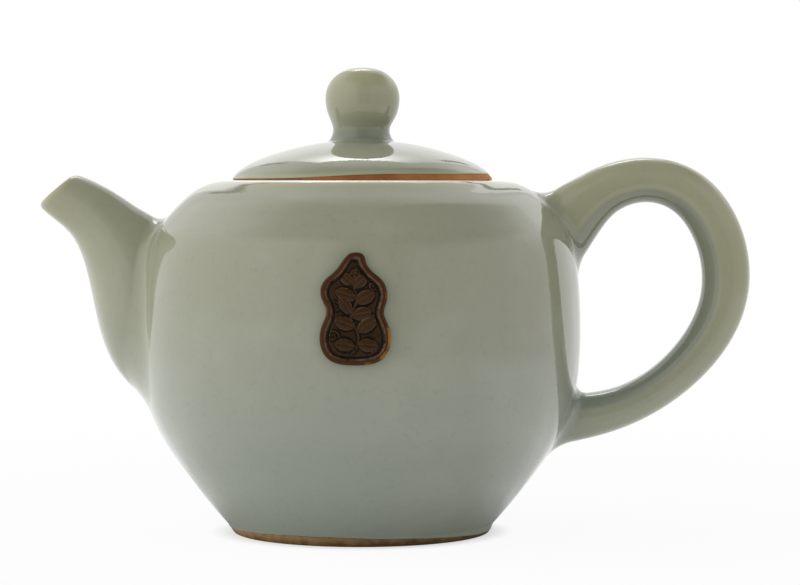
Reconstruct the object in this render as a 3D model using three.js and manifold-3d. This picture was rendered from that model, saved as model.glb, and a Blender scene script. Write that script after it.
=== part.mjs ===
// A small celadon teapot: a thrown body on a bare foot ring, a spout with a strainer behind it, an ear
// handle, a gourd-shaped plaque on the front and a loose lid with a ball knob.
// Millimetres, +Z up. The spout points to -X, the handle to +X and the plaque to -Y. Every piece is drawn
// about the pot's turning axis, and the last lines move the whole pot along X until the origin lies midway
// between the lip of the spout and the back of the handle.
import * as THREE from 'three';
import { mergeVertices } from 'three/addons/utils/BufferGeometryUtils.js';
import { NURBSCurve } from 'three/addons/curves/NURBSCurve.js';
import Module from 'manifold-3d';

const wasm = await Module();
wasm.setup();

// Body
const bellyRadius = 44;
const seatHeight = 70.3;
const glazeRadius = 26.7;
const footHeight = 2;
const footRadius = 25.3;
const footRingWidth = 5;
const footBevel = 0.5;
const wallThickness = 3.3;
const floorThickness = 4;
const floorRounding = 7;
const mouthBevel = 0.6;

// Lid
const lidRadius = 26.1;
const lidRise = 7.95;
const lidEdge = 0.2;
const lidThickness = 3;
const seatWidth = 3.5;
const flangeClearance = 0.5;
const flangeThickness = 2.5;
const flangeDepth = 9;
const flangeTaper = 0.7;
const landMargin = 0.3;
const knobRadius = 7.4;
const knobHeight = 15.1;
const ventRadius = 1.1;

// Spout
const spoutStandOff = 20;
const spoutLipWidth = 9.4;
const spoutRootWidth = 24;
const spoutLipWall = 1.5;
const spoutRootWall = 2.6;

// Strainer, and the pour hole that it covers
const pourHoleRadius = 8;
const pourHoleShare = 0.64;
const strainerThickness = 1.8;
const strainerHoleRadius = 1.1;
const strainerPitch = 3.9;
const strainerRings = 2;
const holesPerRing = 6;
const drillSides = 8;

// Handle
const handleStandOff = 33.5;
const handleThickness = 9.5;
const handleWidth = 10.6;
const handleFullness = 0.88;

// Plaque
const plaqueWidth = 12.9;
const plaqueHeight = 20.8;
const plaqueThickness = 0.9;
const plaqueRecess = 0.35;
const plaqueShift = -0.5;
const plaqueCentreShare = 0.667;

// Gap between pieces that are luted together, and how far a cutting tool runs past what it cuts
const joinGap = 0.3;
const overrun = 4;

// How finely round forms are divided
const potSides = 56;
const lidSides = 48;
const knobSides = 28;
const wallSteps = 16;
const innerSteps = 12;
const domeSteps = 9;
const knobSteps = 13;
const spoutSteps = 18;
const spoutSides = 24;
const handleSteps = 34;
const handleSides = 18;
const plaqueSides = 40;
const degree = 3;
const halvings = 20;

// Wall outline below and above the belly: how far out from the glaze line or the lid's edge towards the
// belly, and how far up from the foot to the seat
const lowerWallShares = [[0, 0], [0.18, 0.05], [0.525, 0.157], [0.935, 0.32], [1.017, 0.52]];
const upperWallShares = [[0.978, 0.767], [0.815, 0.882], [0.33, 1], [0, 1]];

// Dome of the lid, from its edge to the middle: shares of the lid's radius and rise
const domeShares = [[0.95, 0.386], [0.47, 0.938], [0.19, 1], [0, 1]];

// Knob, from the foot of its neck to its top: shares of the knob's radius and height
const knobShares = [[0.93, 0], [0.65, 0.154], [0.93, 0.306], [1.08, 0.677], [0.7, 0.948], [0.27, 1], [0, 1]];

// Spout, from lip to root: how far the upper and lower edges stand off the belly, how high they lie as shares
// of the seat's height, and how far the width has grown from the lip's to the root's
const spoutShares = [
  [[0.66, 1.017], [1.015, 0.929], 0],
  [[0.515, 1.007], [0.905, 0.893], 0.08],
  [[0.22, 0.96], [0.62, 0.858], 0.26],
  [[-0.075, 0.911], [0.475, 0.67], 0.66],
  [[-0.24, 0.885], [0.33, 0.452], 0.95],
  [[-0.31, 0.872], [-0.1, 0.366], 1],
  [[-0.37, 0.862], [-0.31, 0.334], 1],
];

// Handle, from its upper to its lower root: how far the middle line stands off the belly, how high it lies
// as a share of the seat's height, and the section's thickness and width as shares of the handle's own
const handleShares = [
  [-0.254, 0.775, 1.45, 1.3],
  [-0.137, 0.832, 1.58, 1.2],
  [0.09, 1.012, 0.84, 0.98],
  [0.695, 1.013, 1, 0.98],
  [0.95, 0.72, 1.04, 0.98],
  [0.71, 0.484, 0.9, 0.96],
  [0.23, 0.324, 0.8, 0.98],
  [-0.161, 0.32, 1.1, 1.12],
  [-0.343, 0.31, 1.15, 1.2],
];

// Half of the gourd outline, from its foot to its tip: shares of half the plaque's width, and of its height
const gourdShares = [
  [0, 0], [0.38, 0], [0.8, 0.03], [1.1, 0.19], [0.98, 0.36], [0.8, 0.5], [1.06, 0.63], [0.86, 0.79],
  [0.36, 0.86], [0.3, 0.98], [0, 1],
];

// The plaque's surface from the middle of its back over the rim to the middle of its front: each ring's
// share of the outline, of the plaque's thickness, and of the depth of the field inside the rim
const reliefShares = [
  [0.3, 0, 0], [1, 0, 0], [1, 0.7, 0], [0.95, 1, 0], [0.87, 1, 0], [0.82, 1, 1], [0.3, 1, 1],
];

const mix = THREE.MathUtils.lerp;

// A smooth curve drawn by its control points, from the first to the last of them
function spline(controls) {
  const spans = controls.length - degree;
  const inner = Array.from({ length: spans - 1 }, (_, i) => (i + 1) / spans);
  const knots = [...Array(degree + 1).fill(0), ...inner, ...Array(degree + 1).fill(1)];
  return new NURBSCurve(degree, knots, controls.map(([x, y, z = 0]) => new THREE.Vector4(x, y, z, 1)));
}

// The points of a flat curve, moved to its left by a distance
function offset(curve, steps, distance) {
  return Array.from({ length: steps + 1 }, (_, i) => {
    const along = curve.getTangent(i / steps);
    const point = curve.getPoint(i / steps);
    return [point.x - along.y * distance, point.y + along.x * distance];
  });
}

// A closed mesh as a solid, with its faces turned outwards
function solid(geometry) {
  geometry.deleteAttribute('normal');
  geometry.deleteAttribute('uv');
  const merged = mergeVertices(geometry);
  const places = merged.attributes.position.array;
  const corners = [];
  let volume = 0;
  const [a, b, c] = [new THREE.Vector3(), new THREE.Vector3(), new THREE.Vector3()];
  for (let i = 0; i < merged.index.count; i += 3) {
    const [u, v, w] = [0, 1, 2].map((k) => merged.index.getX(i + k));
    if (u === v || v === w || w === u) continue;
    [a, b, c].forEach((corner, k) => corner.fromArray(places, 3 * [u, v, w][k]));
    volume += a.dot(b.cross(c));
    corners.push([u, v, w]);
  }
  const triVerts = new Uint32Array(corners.flatMap((face) => (volume > 0 ? face : face.reverse())));
  return new wasm.Manifold(new wasm.Mesh({ numProp: 3, vertProperties: new Float32Array(places), triVerts }));
}

// An outline of [radius, height] points turned about the vertical axis
function turned(outline, sides) {
  const points = outline.map(([radius, height]) => new THREE.Vector2(radius, height));
  return solid(new THREE.LatheGeometry(points, sides).rotateX(Math.PI / 2));
}

// A ring of the same outline with a hole in the middle, which closes on its first point
function turnedRing(outline, sides) {
  return turned([...outline, outline[0]], sides);
}

// A closed skin over a row of rings with the same number of points, with a fan over each end
function loft(rings) {
  const count = rings[0].length;
  const middle = (ring) => ring.reduce((sum, p) => sum.add(p), new THREE.Vector3()).divideScalar(count);
  const points = [...rings.flat(), middle(rings[0]), middle(rings.at(-1))];
  const [first, last] = [points.length - 2, points.length - 1];
  const index = [];
  for (let j = 0; j < count; j++) {
    const next = (j + 1) % count;
    for (let i = 0; i < rings.length - 1; i++) {
      const [low, high] = [i * count, (i + 1) * count];
      index.push(low + j, low + next, high + next, low + j, high + next, high + j);
    }
    const top = (rings.length - 1) * count;
    index.push(first, next, j, last, top + j, top + next);
  }
  return solid(new THREE.BufferGeometry().setFromPoints(points).setIndex(index));
}

// One oval ring: reach is the way from its middle to its upper edge, and the width lies along Y
function oval(centre, reach, halfWidth, sides, fullness = 1) {
  const full = (x) => Math.sign(x) * Math.abs(x) ** fullness;
  return Array.from({ length: sides }, (_, k) => {
    const turn = (2 * Math.PI * k) / sides;
    const across = new THREE.Vector3(0, halfWidth * full(Math.sin(turn)), 0);
    return reach.clone().multiplyScalar(full(Math.cos(turn))).add(across).add(centre);
  });
}

// The rings again, with one more past each end, so that a cut along them runs out of the solid
function overrunning(rings) {
  const past = (ring, from) => {
    const way = ring[0].clone().sub(from[0]).setLength(overrun);
    return ring.map((point) => point.clone().add(way));
  };
  return [past(rings[0], rings[1]), ...rings, past(rings.at(-1), rings.at(-2))];
}

// The wall's outer outline, from the glaze line to the lid's edge
const wallUp = seatHeight - footHeight;
const wallCurve = spline([
  ...lowerWallShares.map(([out, up]) => [mix(glazeRadius, bellyRadius, out), footHeight + wallUp * up]),
  ...upperWallShares.map(([out, up]) => [mix(lidRadius, bellyRadius, out), footHeight + wallUp * up]),
]);

// Where an outline that runs steadily in height passes a height: its point and its outward direction
function wallAt(height) {
  let [low, high] = [0, 1];
  for (let halving = 0; halving < halvings; halving++) {
    const middle = (low + high) / 2;
    if (wallCurve.getPoint(middle).y < height) low = middle;
    else high = middle;
  }
  const along = wallCurve.getTangent(low);
  return { radius: wallCurve.getPoint(low).x, out: along.y, up: -along.x };
}

const mouthRadius = lidRadius - seatWidth;
const floorTop = footHeight + floorThickness;
const innerWall = offset(wallCurve, innerSteps, wallThickness)
  .filter(([radius, height]) => radius > mouthRadius && height > floorTop);
const floorRadius = innerWall[0][0] - floorRounding;

// The space inside the pot, kept clear of its walls by a gap
function cavity(gap) {
  const wall = offset(wallCurve, innerSteps, wallThickness + gap)
    .filter(([radius, height]) => radius > mouthRadius && height > floorTop + gap);
  return turned([[0, floorTop + gap], [floorRadius, floorTop + gap], ...wall, [0, wall.at(-1)[1]]], potSides);
}

// The pot's outer form as one block, larger all round by the gap at a luted joint
function potBlock() {
  const skin = offset(wallCurve, wallSteps, -joinGap);
  return turned([[0, footHeight], ...skin, [0, seatHeight + joinGap]], potSides);
}

// The way from the pot's axis through the pour hole, along -X
const pourHeight = seatHeight * pourHoleShare;

function pourHole() {
  const tool = new THREE.CylinderGeometry(pourHoleRadius, pourHoleRadius, bellyRadius, spoutSides);
  return solid(tool.rotateZ(Math.PI / 2).translate(-bellyRadius, 0, pourHeight));
}

function potWall() {
  const outline = [
    [0, footHeight],
    ...offset(wallCurve, wallSteps, 0),
    [mouthRadius + mouthBevel, seatHeight],
    [mouthRadius, seatHeight - mouthBevel],
    [mouthRadius, innerWall.at(-1)[1]],
    ...innerWall.toReversed(),
    [floorRadius, floorTop],
    [0, floorTop],
  ];
  return turned(outline, potSides).subtract(pourHole());
}

function footRing() {
  const inner = footRadius - footRingWidth;
  return turnedRing([
    [inner + footBevel, 0],
    [footRadius - footBevel, 0],
    [footRadius, footBevel],
    [glazeRadius, footHeight],
    [inner, footHeight],
    [inner, footBevel],
  ], potSides);
}

// The spout's rings from lip to root, drawn inwards by a share of its wall
function spoutRings(inset) {
  const place = ([out, up]) => [-(bellyRadius + spoutStandOff * out), 0, seatHeight * up];
  const upper = spline(spoutShares.map(([edge]) => place(edge)));
  const lower = spline(spoutShares.map(([, edge]) => place(edge)));
  const width = spline(spoutShares.map(([, , grown]) => [mix(spoutLipWidth, spoutRootWidth, grown), 0]));
  return Array.from({ length: spoutSteps + 1 }, (_, i) => {
    const t = i / spoutSteps;
    const wall = inset * mix(spoutLipWall, spoutRootWall, t);
    const [top, bottom] = [upper.getPoint(t), lower.getPoint(t)];
    const centre = top.clone().add(bottom).divideScalar(2);
    const reach = top.sub(centre);
    reach.setLength(reach.length() - wall);
    return oval(centre, reach, width.getPoint(t).x / 2 - wall, spoutSides);
  });
}

function spout() {
  return loft(spoutRings(0)).subtract(loft(overrunning(spoutRings(1)))).subtract(potBlock());
}

// A dome of clay inside the pot wall, pierced by a hole in its middle and rings of holes round it, each ring
// with six holes more than the last
function spoutStrainer() {
  const inside = wallAt(pourHeight).radius - wallThickness;
  const outer = pourHoleRadius + strainerThickness;
  const ball = (radius) => solid(new THREE.SphereGeometry(radius, spoutSides, spoutSides / 2));
  let dome = ball(outer).subtract(ball(pourHoleRadius));
  for (let ring = 0; ring <= strainerRings; ring++) {
    const count = ring ? holesPerRing * ring : 1;
    const lean = (ring * strainerPitch) / outer;
    for (let k = 0; k < count; k++) {
      const length = 2 * strainerThickness;
      const drill = new THREE.CylinderGeometry(strainerHoleRadius, strainerHoleRadius, length, drillSides);
      drill.rotateZ(-Math.PI / 2).translate(outer - strainerThickness / 2, 0, 0);
      drill.rotateZ(lean).rotateX((2 * Math.PI * k) / count);
      dome = dome.subtract(solid(drill));
    }
  }
  return dome.translate([-inside, 0, pourHeight]).intersect(cavity(joinGap));
}

// The handle's solid: ovals set square to its middle line, ending on the wall
function handle() {
  const place = ([out, up]) => [bellyRadius + handleStandOff * out, 0, seatHeight * up];
  const line = spline(handleShares.map(place));
  const measure = ([, , thick, wide]) => [handleThickness * thick, handleWidth * wide];
  const girth = spline(handleShares.map(measure));
  const rings = Array.from({ length: handleSteps + 1 }, (_, i) => {
    const t = i / handleSteps;
    const along = line.getTangent(t);
    const size = girth.getPoint(t);
    const reach = new THREE.Vector3(-along.z, 0, along.x).multiplyScalar(size.x / 2);
    return oval(line.getPoint(t), reach, size.y / 2, handleSides, handleFullness);
  });
  return loft(rings).subtract(potBlock());
}

// The plaque bends with the wall behind it: a point is given by its way along the wall, its height and its
// lift off the wall
function sealPlaque() {
  const middle = seatHeight * plaqueCentreShare;
  const half = spline(gourdShares.map(([out, up]) => [(plaqueWidth / 2) * out, plaqueHeight * (up - 0.5)]));
  const side = half.getPoints(plaqueSides / 2);
  const mirrored = side.slice(1, -1).reverse().map((point) => new THREE.Vector3(-point.x, point.y, 0));
  const onWall = ({ x, y }, lift) => {
    const wall = wallAt(middle + y);
    const radius = wall.radius + wall.out * lift;
    const turn = (x + plaqueShift) / wall.radius;
    return new THREE.Vector3(radius * Math.sin(turn), -radius * Math.cos(turn), middle + y + wall.up * lift);
  };
  return loft(reliefShares.map(([size, thick, sunk]) => [...side, ...mirrored].map((point) =>
    onWall(point.clone().multiplyScalar(size), joinGap + plaqueThickness * thick - plaqueRecess * sunk))));
}

// The lid's dome, and the flat land on top of it that the knob stands on
const domeCurve = spline([
  [lidRadius, seatHeight + lidEdge],
  ...domeShares.map(([out, up]) => [lidRadius * out, seatHeight + lidRise * up]),
]);
const knobFoot = knobRadius * knobShares[0][0];
const landRadius = knobFoot + landMargin;
const dome = offset(domeCurve, domeSteps, 0).filter(([radius]) => radius > landRadius);
const landHeight = dome.at(-1)[1];
const flangeRadius = mouthRadius - flangeClearance;
const collarRadius = flangeRadius - flangeThickness;

function lidCap() {
  const under = offset(domeCurve, domeSteps, lidThickness)
    .filter(([radius]) => radius > ventRadius && radius < collarRadius);
  return turnedRing([
    [ventRadius, landHeight],
    [ventRadius, under.at(-1)[1]],
    ...under.toReversed(),
    [collarRadius, under[0][1]],
    [collarRadius, seatHeight],
    [lidRadius, seatHeight],
    ...dome,
    [landRadius, landHeight],
  ], lidSides);
}

function lidFlange() {
  const bottom = seatHeight - flangeDepth;
  return turnedRing([
    [collarRadius, bottom],
    [flangeRadius - flangeTaper, bottom],
    [flangeRadius, bottom + flangeTaper],
    [flangeRadius, seatHeight],
    [collarRadius, seatHeight],
  ], lidSides);
}

function lidKnob() {
  const curve = spline(knobShares.map(([out, up]) => [knobRadius * out, landHeight + knobHeight * up]));
  const side = offset(curve, knobSteps, 0).filter(([radius]) => radius > ventRadius);
  return turnedRing([[ventRadius, landHeight], ...side, [ventRadius, side.at(-1)[1]]], knobSides);
}

// Finishes
const celadon = { color: 0x989a8a, roughness: 0.16, metalness: 0 };
const footClay = { color: 0x765a3c, roughness: 0.85, metalness: 0 };
const lidClay = { color: 0x9c6b41, roughness: 0.8, metalness: 0 };
const darkGlaze = { color: 0x3a2416, roughness: 0.25, metalness: 0 };

function piece(name, shape, finish) {
  const { vertProperties, triVerts } = shape.getMesh();
  const geometry = new THREE.BufferGeometry();
  geometry.setAttribute('position', new THREE.BufferAttribute(vertProperties, 3));
  geometry.setIndex(new THREE.BufferAttribute(triVerts, 1));
  geometry.computeVertexNormals();
  const mesh = new THREE.Mesh(geometry, new THREE.MeshStandardMaterial(finish));
  mesh.name = name;
  return mesh;
}

const pot = new THREE.Group();
pot.add(
  piece('pot_wall', potWall(), celadon),
  piece('foot_ring', footRing(), footClay),
  piece('spout', spout(), celadon),
  piece('spout_strainer', spoutStrainer(), celadon),
  piece('handle', handle(), celadon),
  piece('seal_plaque', sealPlaque(), darkGlaze),
);

const lid = new THREE.Group();
lid.add(
  piece('lid_cap', lidCap(), celadon),
  piece('lid_flange', lidFlange(), lidClay),
  piece('lid_knob', lidKnob(), celadon),
);

const teapot = new THREE.Group();
teapot.add(pot, lid);
const box = new THREE.Box3().setFromObject(teapot);
teapot.position.x = -(box.min.x + box.max.x) / 2;

export default teapot;
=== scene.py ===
"""A glazed teapot with a loose lid: its fine surfaces and glazes round its packed model, in a pale studio."""

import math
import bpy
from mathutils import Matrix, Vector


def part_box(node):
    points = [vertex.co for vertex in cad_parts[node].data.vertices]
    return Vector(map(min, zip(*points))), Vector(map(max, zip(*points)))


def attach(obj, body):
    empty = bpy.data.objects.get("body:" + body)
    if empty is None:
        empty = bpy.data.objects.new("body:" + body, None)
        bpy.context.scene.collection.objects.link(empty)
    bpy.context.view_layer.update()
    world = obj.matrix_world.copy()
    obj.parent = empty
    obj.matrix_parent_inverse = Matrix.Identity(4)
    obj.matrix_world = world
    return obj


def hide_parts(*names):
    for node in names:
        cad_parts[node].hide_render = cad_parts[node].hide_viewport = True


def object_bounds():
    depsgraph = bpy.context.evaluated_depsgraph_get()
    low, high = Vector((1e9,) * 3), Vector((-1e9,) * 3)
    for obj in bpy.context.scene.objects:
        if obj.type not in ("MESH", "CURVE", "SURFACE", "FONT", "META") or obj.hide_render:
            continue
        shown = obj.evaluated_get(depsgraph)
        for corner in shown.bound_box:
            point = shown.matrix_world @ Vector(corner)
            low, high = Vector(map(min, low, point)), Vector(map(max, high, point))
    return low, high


bl_info = {
    "name": "Celadon Teapot",
    "version": (1, 0, 0),
    "blender": (4, 5, 0),
    "location": "3D View > Sidebar > Teapot",
    "description": "Makes a glazed teapot with a strainer, a handle, a plaque and a loose lid, in a studio",
    "category": "Add Mesh",
}

import bmesh
import bpy
import numpy as np
from bpy.props import FloatProperty, FloatVectorProperty, IntProperty, PointerProperty
from mathutils import Vector

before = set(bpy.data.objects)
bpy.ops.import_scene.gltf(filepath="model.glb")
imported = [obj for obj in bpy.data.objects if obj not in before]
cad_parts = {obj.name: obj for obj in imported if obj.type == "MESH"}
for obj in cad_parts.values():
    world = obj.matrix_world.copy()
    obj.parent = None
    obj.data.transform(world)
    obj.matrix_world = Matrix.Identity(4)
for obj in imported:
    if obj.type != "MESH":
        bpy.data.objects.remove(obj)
cad_low, cad_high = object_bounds()
foot_low, foot_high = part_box("foot_ring")
POT_AXIS = (foot_low.x + foot_high.x) / 2
FOOT_HEIGHT = foot_high.z
SEAT_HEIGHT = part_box("pot_wall")[1].z

MM = 0.001

# The degree of the smooth curves, and a number just above nothing
DEGREE = 3
SLIVER = 1e-9

# How finely the round forms are divided
WALL_SAMPLES = 2400
SEAT_SAMPLES = 40
WALL_RINGS = 230
INNER_STEP = 32
TURNS = 240
DOME_RINGS = 100
CLAY_RINGS = 7
UNDER_STEP = 60
LID_TURNS = 224
KNOB_SAMPLES = 400
KNOB_STEP = 5
KNOB_TURNS = 96
SPOUT_SIDES = 112
SPOUT_STATIONS = 150
LIP_STEPS = 14
DRILL_SIDES = 64
DRILL_RINGS = 4
STRAINER_TURNS = 96
STRAINER_STEPS = 40
HOLE_SIDES = 28
HANDLE_SIDES = 88
HANDLE_STATIONS = 300
FLARE_STEPS = 22
BEND_STEPS = 6
PLAQUE_SIDES = 420
PLAQUE_RINGS = 100
STEM_STEPS = 90
CURL_STEPS = 60
FINE = 0.9 * MM
FINEST = 0.08 * MM
SHARP = math.radians(38)
CORNER = math.cos(math.radians(20))

# How many points are compared at once, so that the memory suffices
BATCH = 400

# Where the tool that cuts the pour hole starts and ends, as shares of the belly's radius
DRILL_SHARES = (0.6, 1.3)

# How far from the roots and from the plaque the glaze gathers
ROOT_POOL = 2.2 * MM
PLAQUE_POOL = 1.6 * MM

# How many more holes each ring of the strainer has than the one before
HOLES_PER_RING = 6

# How strongly each finish bends light, and so how bright its gloss is
GLAZE_IOR = 1.5
CLAY_IOR = 1.38
PLAQUE_IOR = 1.24

# The thrown shoulder, in shares of the seat's height: where its lean starts and is full, where the lean has
# ended on the spout's and on the handle's side, and where its fall in front and behind starts and is full
LEAN_START, LEAN_FULL = 0.65, 0.82
LEAN_END_SPOUT, LEAN_END_HANDLE = 0.985, 1.02
FALL_START, FALL_FULL = 0.825, 0.94

# Wall outline below and above the belly: how far out from the glaze line or the lid's edge towards the
# belly, and how far up from the foot to the seat
LOWER_WALL_SHARES = [(0, 0), (0.18, 0.05), (0.525, 0.157), (0.935, 0.32), (1.017, 0.52)]
UPPER_WALL_SHARES = [(0.978, 0.767), (0.815, 0.882), (0.33, 1), (0, 1)]

# Dome of the lid, from its edge to the middle: shares of the lid's radius and rise
DOME_SHARES = [(0.95, 0.386), (0.47, 0.938), (0.19, 1), (0, 1)]

# Knob, from the foot of its neck to its top: shares of the knob's radius and height
KNOB_SHARES = [(0.93, 0), (0.65, 0.154), (0.93, 0.306), (1.08, 0.677), (0.7, 0.948), (0.27, 1), (0, 1)]

# Spout, from lip to root: how far the upper and lower edges stand off the belly, how high they lie as shares
# of the seat's height, and how far the width has grown from the lip's to the root's
SPOUT_SHARES = [
    ((0.66, 1.017), (1.015, 0.929), 0),
    ((0.515, 1.007), (0.905, 0.893), 0.08),
    ((0.22, 0.96), (0.62, 0.858), 0.26),
    ((-0.075, 0.911), (0.475, 0.67), 0.66),
    ((-0.24, 0.885), (0.33, 0.452), 0.95),
    ((-0.31, 0.872), (-0.1, 0.366), 1),
    ((-0.37, 0.862), (-0.31, 0.334), 1),
]

# Handle, from its upper to its lower root: how far the middle line stands off the belly, how high it lies as
# a share of the seat's height, and the section's thickness and width as shares of the handle's own
HANDLE_SHARES = [
    (-0.254, 0.775, 1.45, 1.3),
    (-0.137, 0.832, 1.58, 1.2),
    (0.09, 1.012, 0.84, 0.98),
    (0.695, 1.013, 1, 0.98),
    (0.95, 0.72, 1.04, 0.98),
    (0.71, 0.484, 0.86, 0.96),
    (0.23, 0.324, 0.77, 0.98),
    (-0.161, 0.32, 1.1, 1.12),
    (-0.343, 0.31, 1.15, 1.2),
]

# Half of the gourd outline, from its foot to its tip: shares of half the plaque's width, and of its height
GOURD_SHARES = [
    (0, 0), (0.4, 0), (0.84, 0.03), (1.1, 0.2), (0.99, 0.37), (0.76, 0.47), (1.03, 0.6), (0.94, 0.75),
    (0.56, 0.82), (0.32, 0.92), (0.24, 1), (0, 1),
]

# The vine on the plaque: its stem's control points, then each leaf's root, length and width and the way it
# points in degrees, as shares of the plaque's width and height from its middle
STEM_SHARES = [(-0.05, -0.4), (0.16, -0.25), (-0.2, -0.08), (0.16, 0.1), (-0.06, 0.22), (0.05, 0.36)]
LEAF_SHARES = [
    ((0.04, -0.31), 0.3, 0.2, -6), ((0.0, -0.33), 0.3, 0.2, 172), ((0.03, -0.2), 0.34, 0.2, 34),
    ((0.0, -0.16), 0.32, 0.2, 160), ((-0.05, -0.06), 0.3, 0.2, 12), ((-0.06, -0.04), 0.28, 0.18, 124),
    ((0.02, 0.06), 0.32, 0.2, 28), ((0.03, 0.1), 0.32, 0.2, 162), ((0.0, 0.19), 0.26, 0.17, 42),
    ((-0.01, 0.22), 0.24, 0.16, 140),
]

# The vine's tendrils: the middle of each curl, its radius as a share of the plaque's width, and its hand
CURL_SHARES = [
    ((0.3, -0.1), 0.09, 1), ((-0.32, -0.24), 0.08, -1), ((-0.28, 0.02), 0.08, 1), ((0.3, 0.2), 0.08, -1),
    ((0.28, -0.36), 0.07, -1), ((0.04, 0.31), 0.07, 1),
]

# Where the clay shows through on the plaque's rim: places as shares of its width and height, and their reach
# as a share of its width
AMBER_SHARES = [
    ((0.53, -0.19), 0.09), ((0.53, -0.3), 0.1), ((0.4, -0.42), 0.08), ((0.2, -0.5), 0.08),
    ((-0.45, -0.01), 0.09), ((0.5, 0.12), 0.07),
]

# How bright the walls and the floor are in the gloss, by direction: where each stretch starts, in degrees
# from behind the pot towards the handle, the degrees over which it grows in, and its brightness
WALL_SHINE = [
    (-180, 0, 0.35), (-170, 14, 1), (-148, 14, 1.25), (-50, 12, 1.15), (-32, 8, 0.95), (-16, 4, 1.1),
    (24, 8, 1.25), (58, 20, 1.1), (84, 20, 1), (116, 16, 0.8), (146, 14, 0.35),
]
# The floor's own glow in the gloss near the pot: painted light, brighter on both sides
FLOOR_SHINE = [
    (-180, 0, 1), (-150, 30, 1.2), (-110, 20, 1.4), (-40, 20, 1), (24, 10, 1.25), (60, 20, 1.6), (110, 30, 1),
]

# The bright panel behind the pot, in degrees: half its width and its upper edge
PANEL_HALF = 16.5
PANEL_TOP = 50.0

# Dark poles in the room, in degrees: their directions, the heights of their middles and half their heights
POLES = [(-18.5, 32, 5.5), (12.5, 26, 5.5)]


def length(name, description, millimetres):
    """A size that is given here in millimetres and shown in the scene's own unit."""
    default = millimetres * MM
    return FloatProperty(name=name, description=description, default=default, precision=5, unit="LENGTH")


def share(name, description, default):
    """A number without a unit."""
    return FloatProperty(name=name, description=description, default=default, precision=3)


def angle(name, description, degrees):
    """An angle that is given here in degrees."""
    return FloatProperty(name=name, description=description, default=math.radians(degrees), subtype="ANGLE")


def count(name, description, default):
    """A whole number."""
    return IntProperty(name=name, description=description, default=default, min=1)


def linear(level):
    """The linear strength of an 8-bit screen level."""
    part = level / 255
    return part / 12.92 if part <= 0.04045 else ((part + 0.055) / 1.055) ** 2.4


def colour(name, description, *levels):
    """A colour that is given here in 8-bit screen levels."""
    default = tuple(linear(level) for level in levels)
    return FloatVectorProperty(name=name, description=description, default=default, subtype="COLOR", size=3)


class PotSizes(bpy.types.PropertyGroup):
    """The thrown body and its foot."""

    belly_radius: length("Belly radius", "Radius that the widest part of the wall is drawn to", 44)
    glaze_radius: length("Glaze line radius", "Radius where the glazed wall meets the foot ring", 26.7)
    wall: length("Wall", "Thickness of the thrown wall", 3.3)
    floor: length("Floor", "Thickness of the pot's floor", 4)
    floor_rounding: length("Floor rounding", "How far the floor's edge is rounded up into the wall", 7)
    seat_width: length("Seat width", "Width of the flat ring that carries the lid", 3.5)
    # Painted highlight: reach of the pale line round the lid's edge, which stands in for the gloss caught
    # there
    painted_highlight_reach: length("Pale line", "Reach of the pale line in the glaze round the lid's edge", 0.7)
    seat_margin: length("Seat margin", "How far the glaze stops short of the seat's outer edge", 0.5)
    mouth_bevel: length("Mouth bevel", "Bevel along the mouth's inner edge", 0.6)
    softness: length("Edge softness", "How far from an edge its rounding starts", 0.5)
    foot_radius: length("Foot radius", "Outer radius of the bare foot ring where it stands", 25.8)
    foot_width: length("Foot ring width", "Width of the bare foot ring", 5.5)
    foot_bevel: length("Foot bevel", "Bevel along the foot's standing edges", 0.25)
    foot_shift: length("Foot shift", "How far the hand-turned foot stands off centre towards the handle", 0.2)
    shoulder_low: length("Low shoulder", "How far the shoulder hangs on the spout's side", 0.42)
    shoulder_high: length("High shoulder", "How far the shoulder rises on the handle's side", 0.68)
    shoulder_fall: length("Shoulder fall", "How far the shoulder falls away in front and behind", 1.9)
    glaze_low: length("Lowest glaze", "Height where the glaze ends on the handle's side", 0.3)
    glaze_high: length("Highest glaze", "Height where the glaze ends on the spout's side", 1.9)
    glaze_turn: angle("Highest side", "Direction in which the foot shows most clay", 247)
    glaze_waver: length("Glaze waver", "How far the glaze line wavers round the foot", 0.07)
    glaze_step: length("Glaze step", "How far the glaze stands proud of the bare clay", 0.14)
    pour_radius: length("Pour hole radius", "Radius of the hole behind the spout", 8)
    pour_share: share("Pour hole height", "Height of the pour hole as a share of the seat's", 0.64)


class LidSizes(bpy.types.PropertyGroup):
    """The loose lid and its knob."""

    radius: length("Lid radius", "Radius of the lid's edge", 26.1)
    rise: length("Lid rise", "Height of the dome above the seat", 7.95)
    aside: length("Lid play", "How far the loose lid stands towards the handle within its play", 0.4)
    edge: length("Lid edge", "Height where the dome's curve starts above the seat", 0.2)
    thickness: length("Lid thickness", "Thickness of the dome", 3)
    band_low: length("Narrow clay band", "Bare clay at the lid's edge on the spout's side", 0.12)
    band_high: length("Wide clay band", "Bare clay at the lid's edge on the handle's side", 1.35)
    band_waver: length("Band waver", "How far the glaze's edge wavers round the lid", 0.06)
    clearance: length("Collar clearance", "Gap between the collar and the mouth", 0.5)
    collar: length("Collar thickness", "Thickness of the collar under the lid", 2.5)
    collar_depth: length("Collar depth", "How far the collar reaches into the mouth", 9)
    collar_taper: length("Collar taper", "Bevel along the collar's lower edge", 0.7)
    knob_radius: length("Knob radius", "Radius that the ball knob is drawn to", 7.4)
    knob_height: length("Knob height", "Height of the knob above the land that it stands on", 15.1)
    knob_margin: length("Knob land margin", "Margin of the land round the foot of the knob's neck", 0.3)
    knob_flare: length("Knob flare", "How far the foot of the knob's neck spreads over the dome", 1.5)
    knob_aside: length("Neck shift", "How far the knob's neck stands off centre towards the spout", 0.25)
    knob_fillet: length("Knob fillet height", "Height on the neck at which the flare begins", 1.5)
    vent: length("Vent radius", "Radius of the vent through the knob", 1.1)
    band_step: length("Lid glaze step", "How far the glaze stands proud of the lid's clay band", 0.2)


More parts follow.
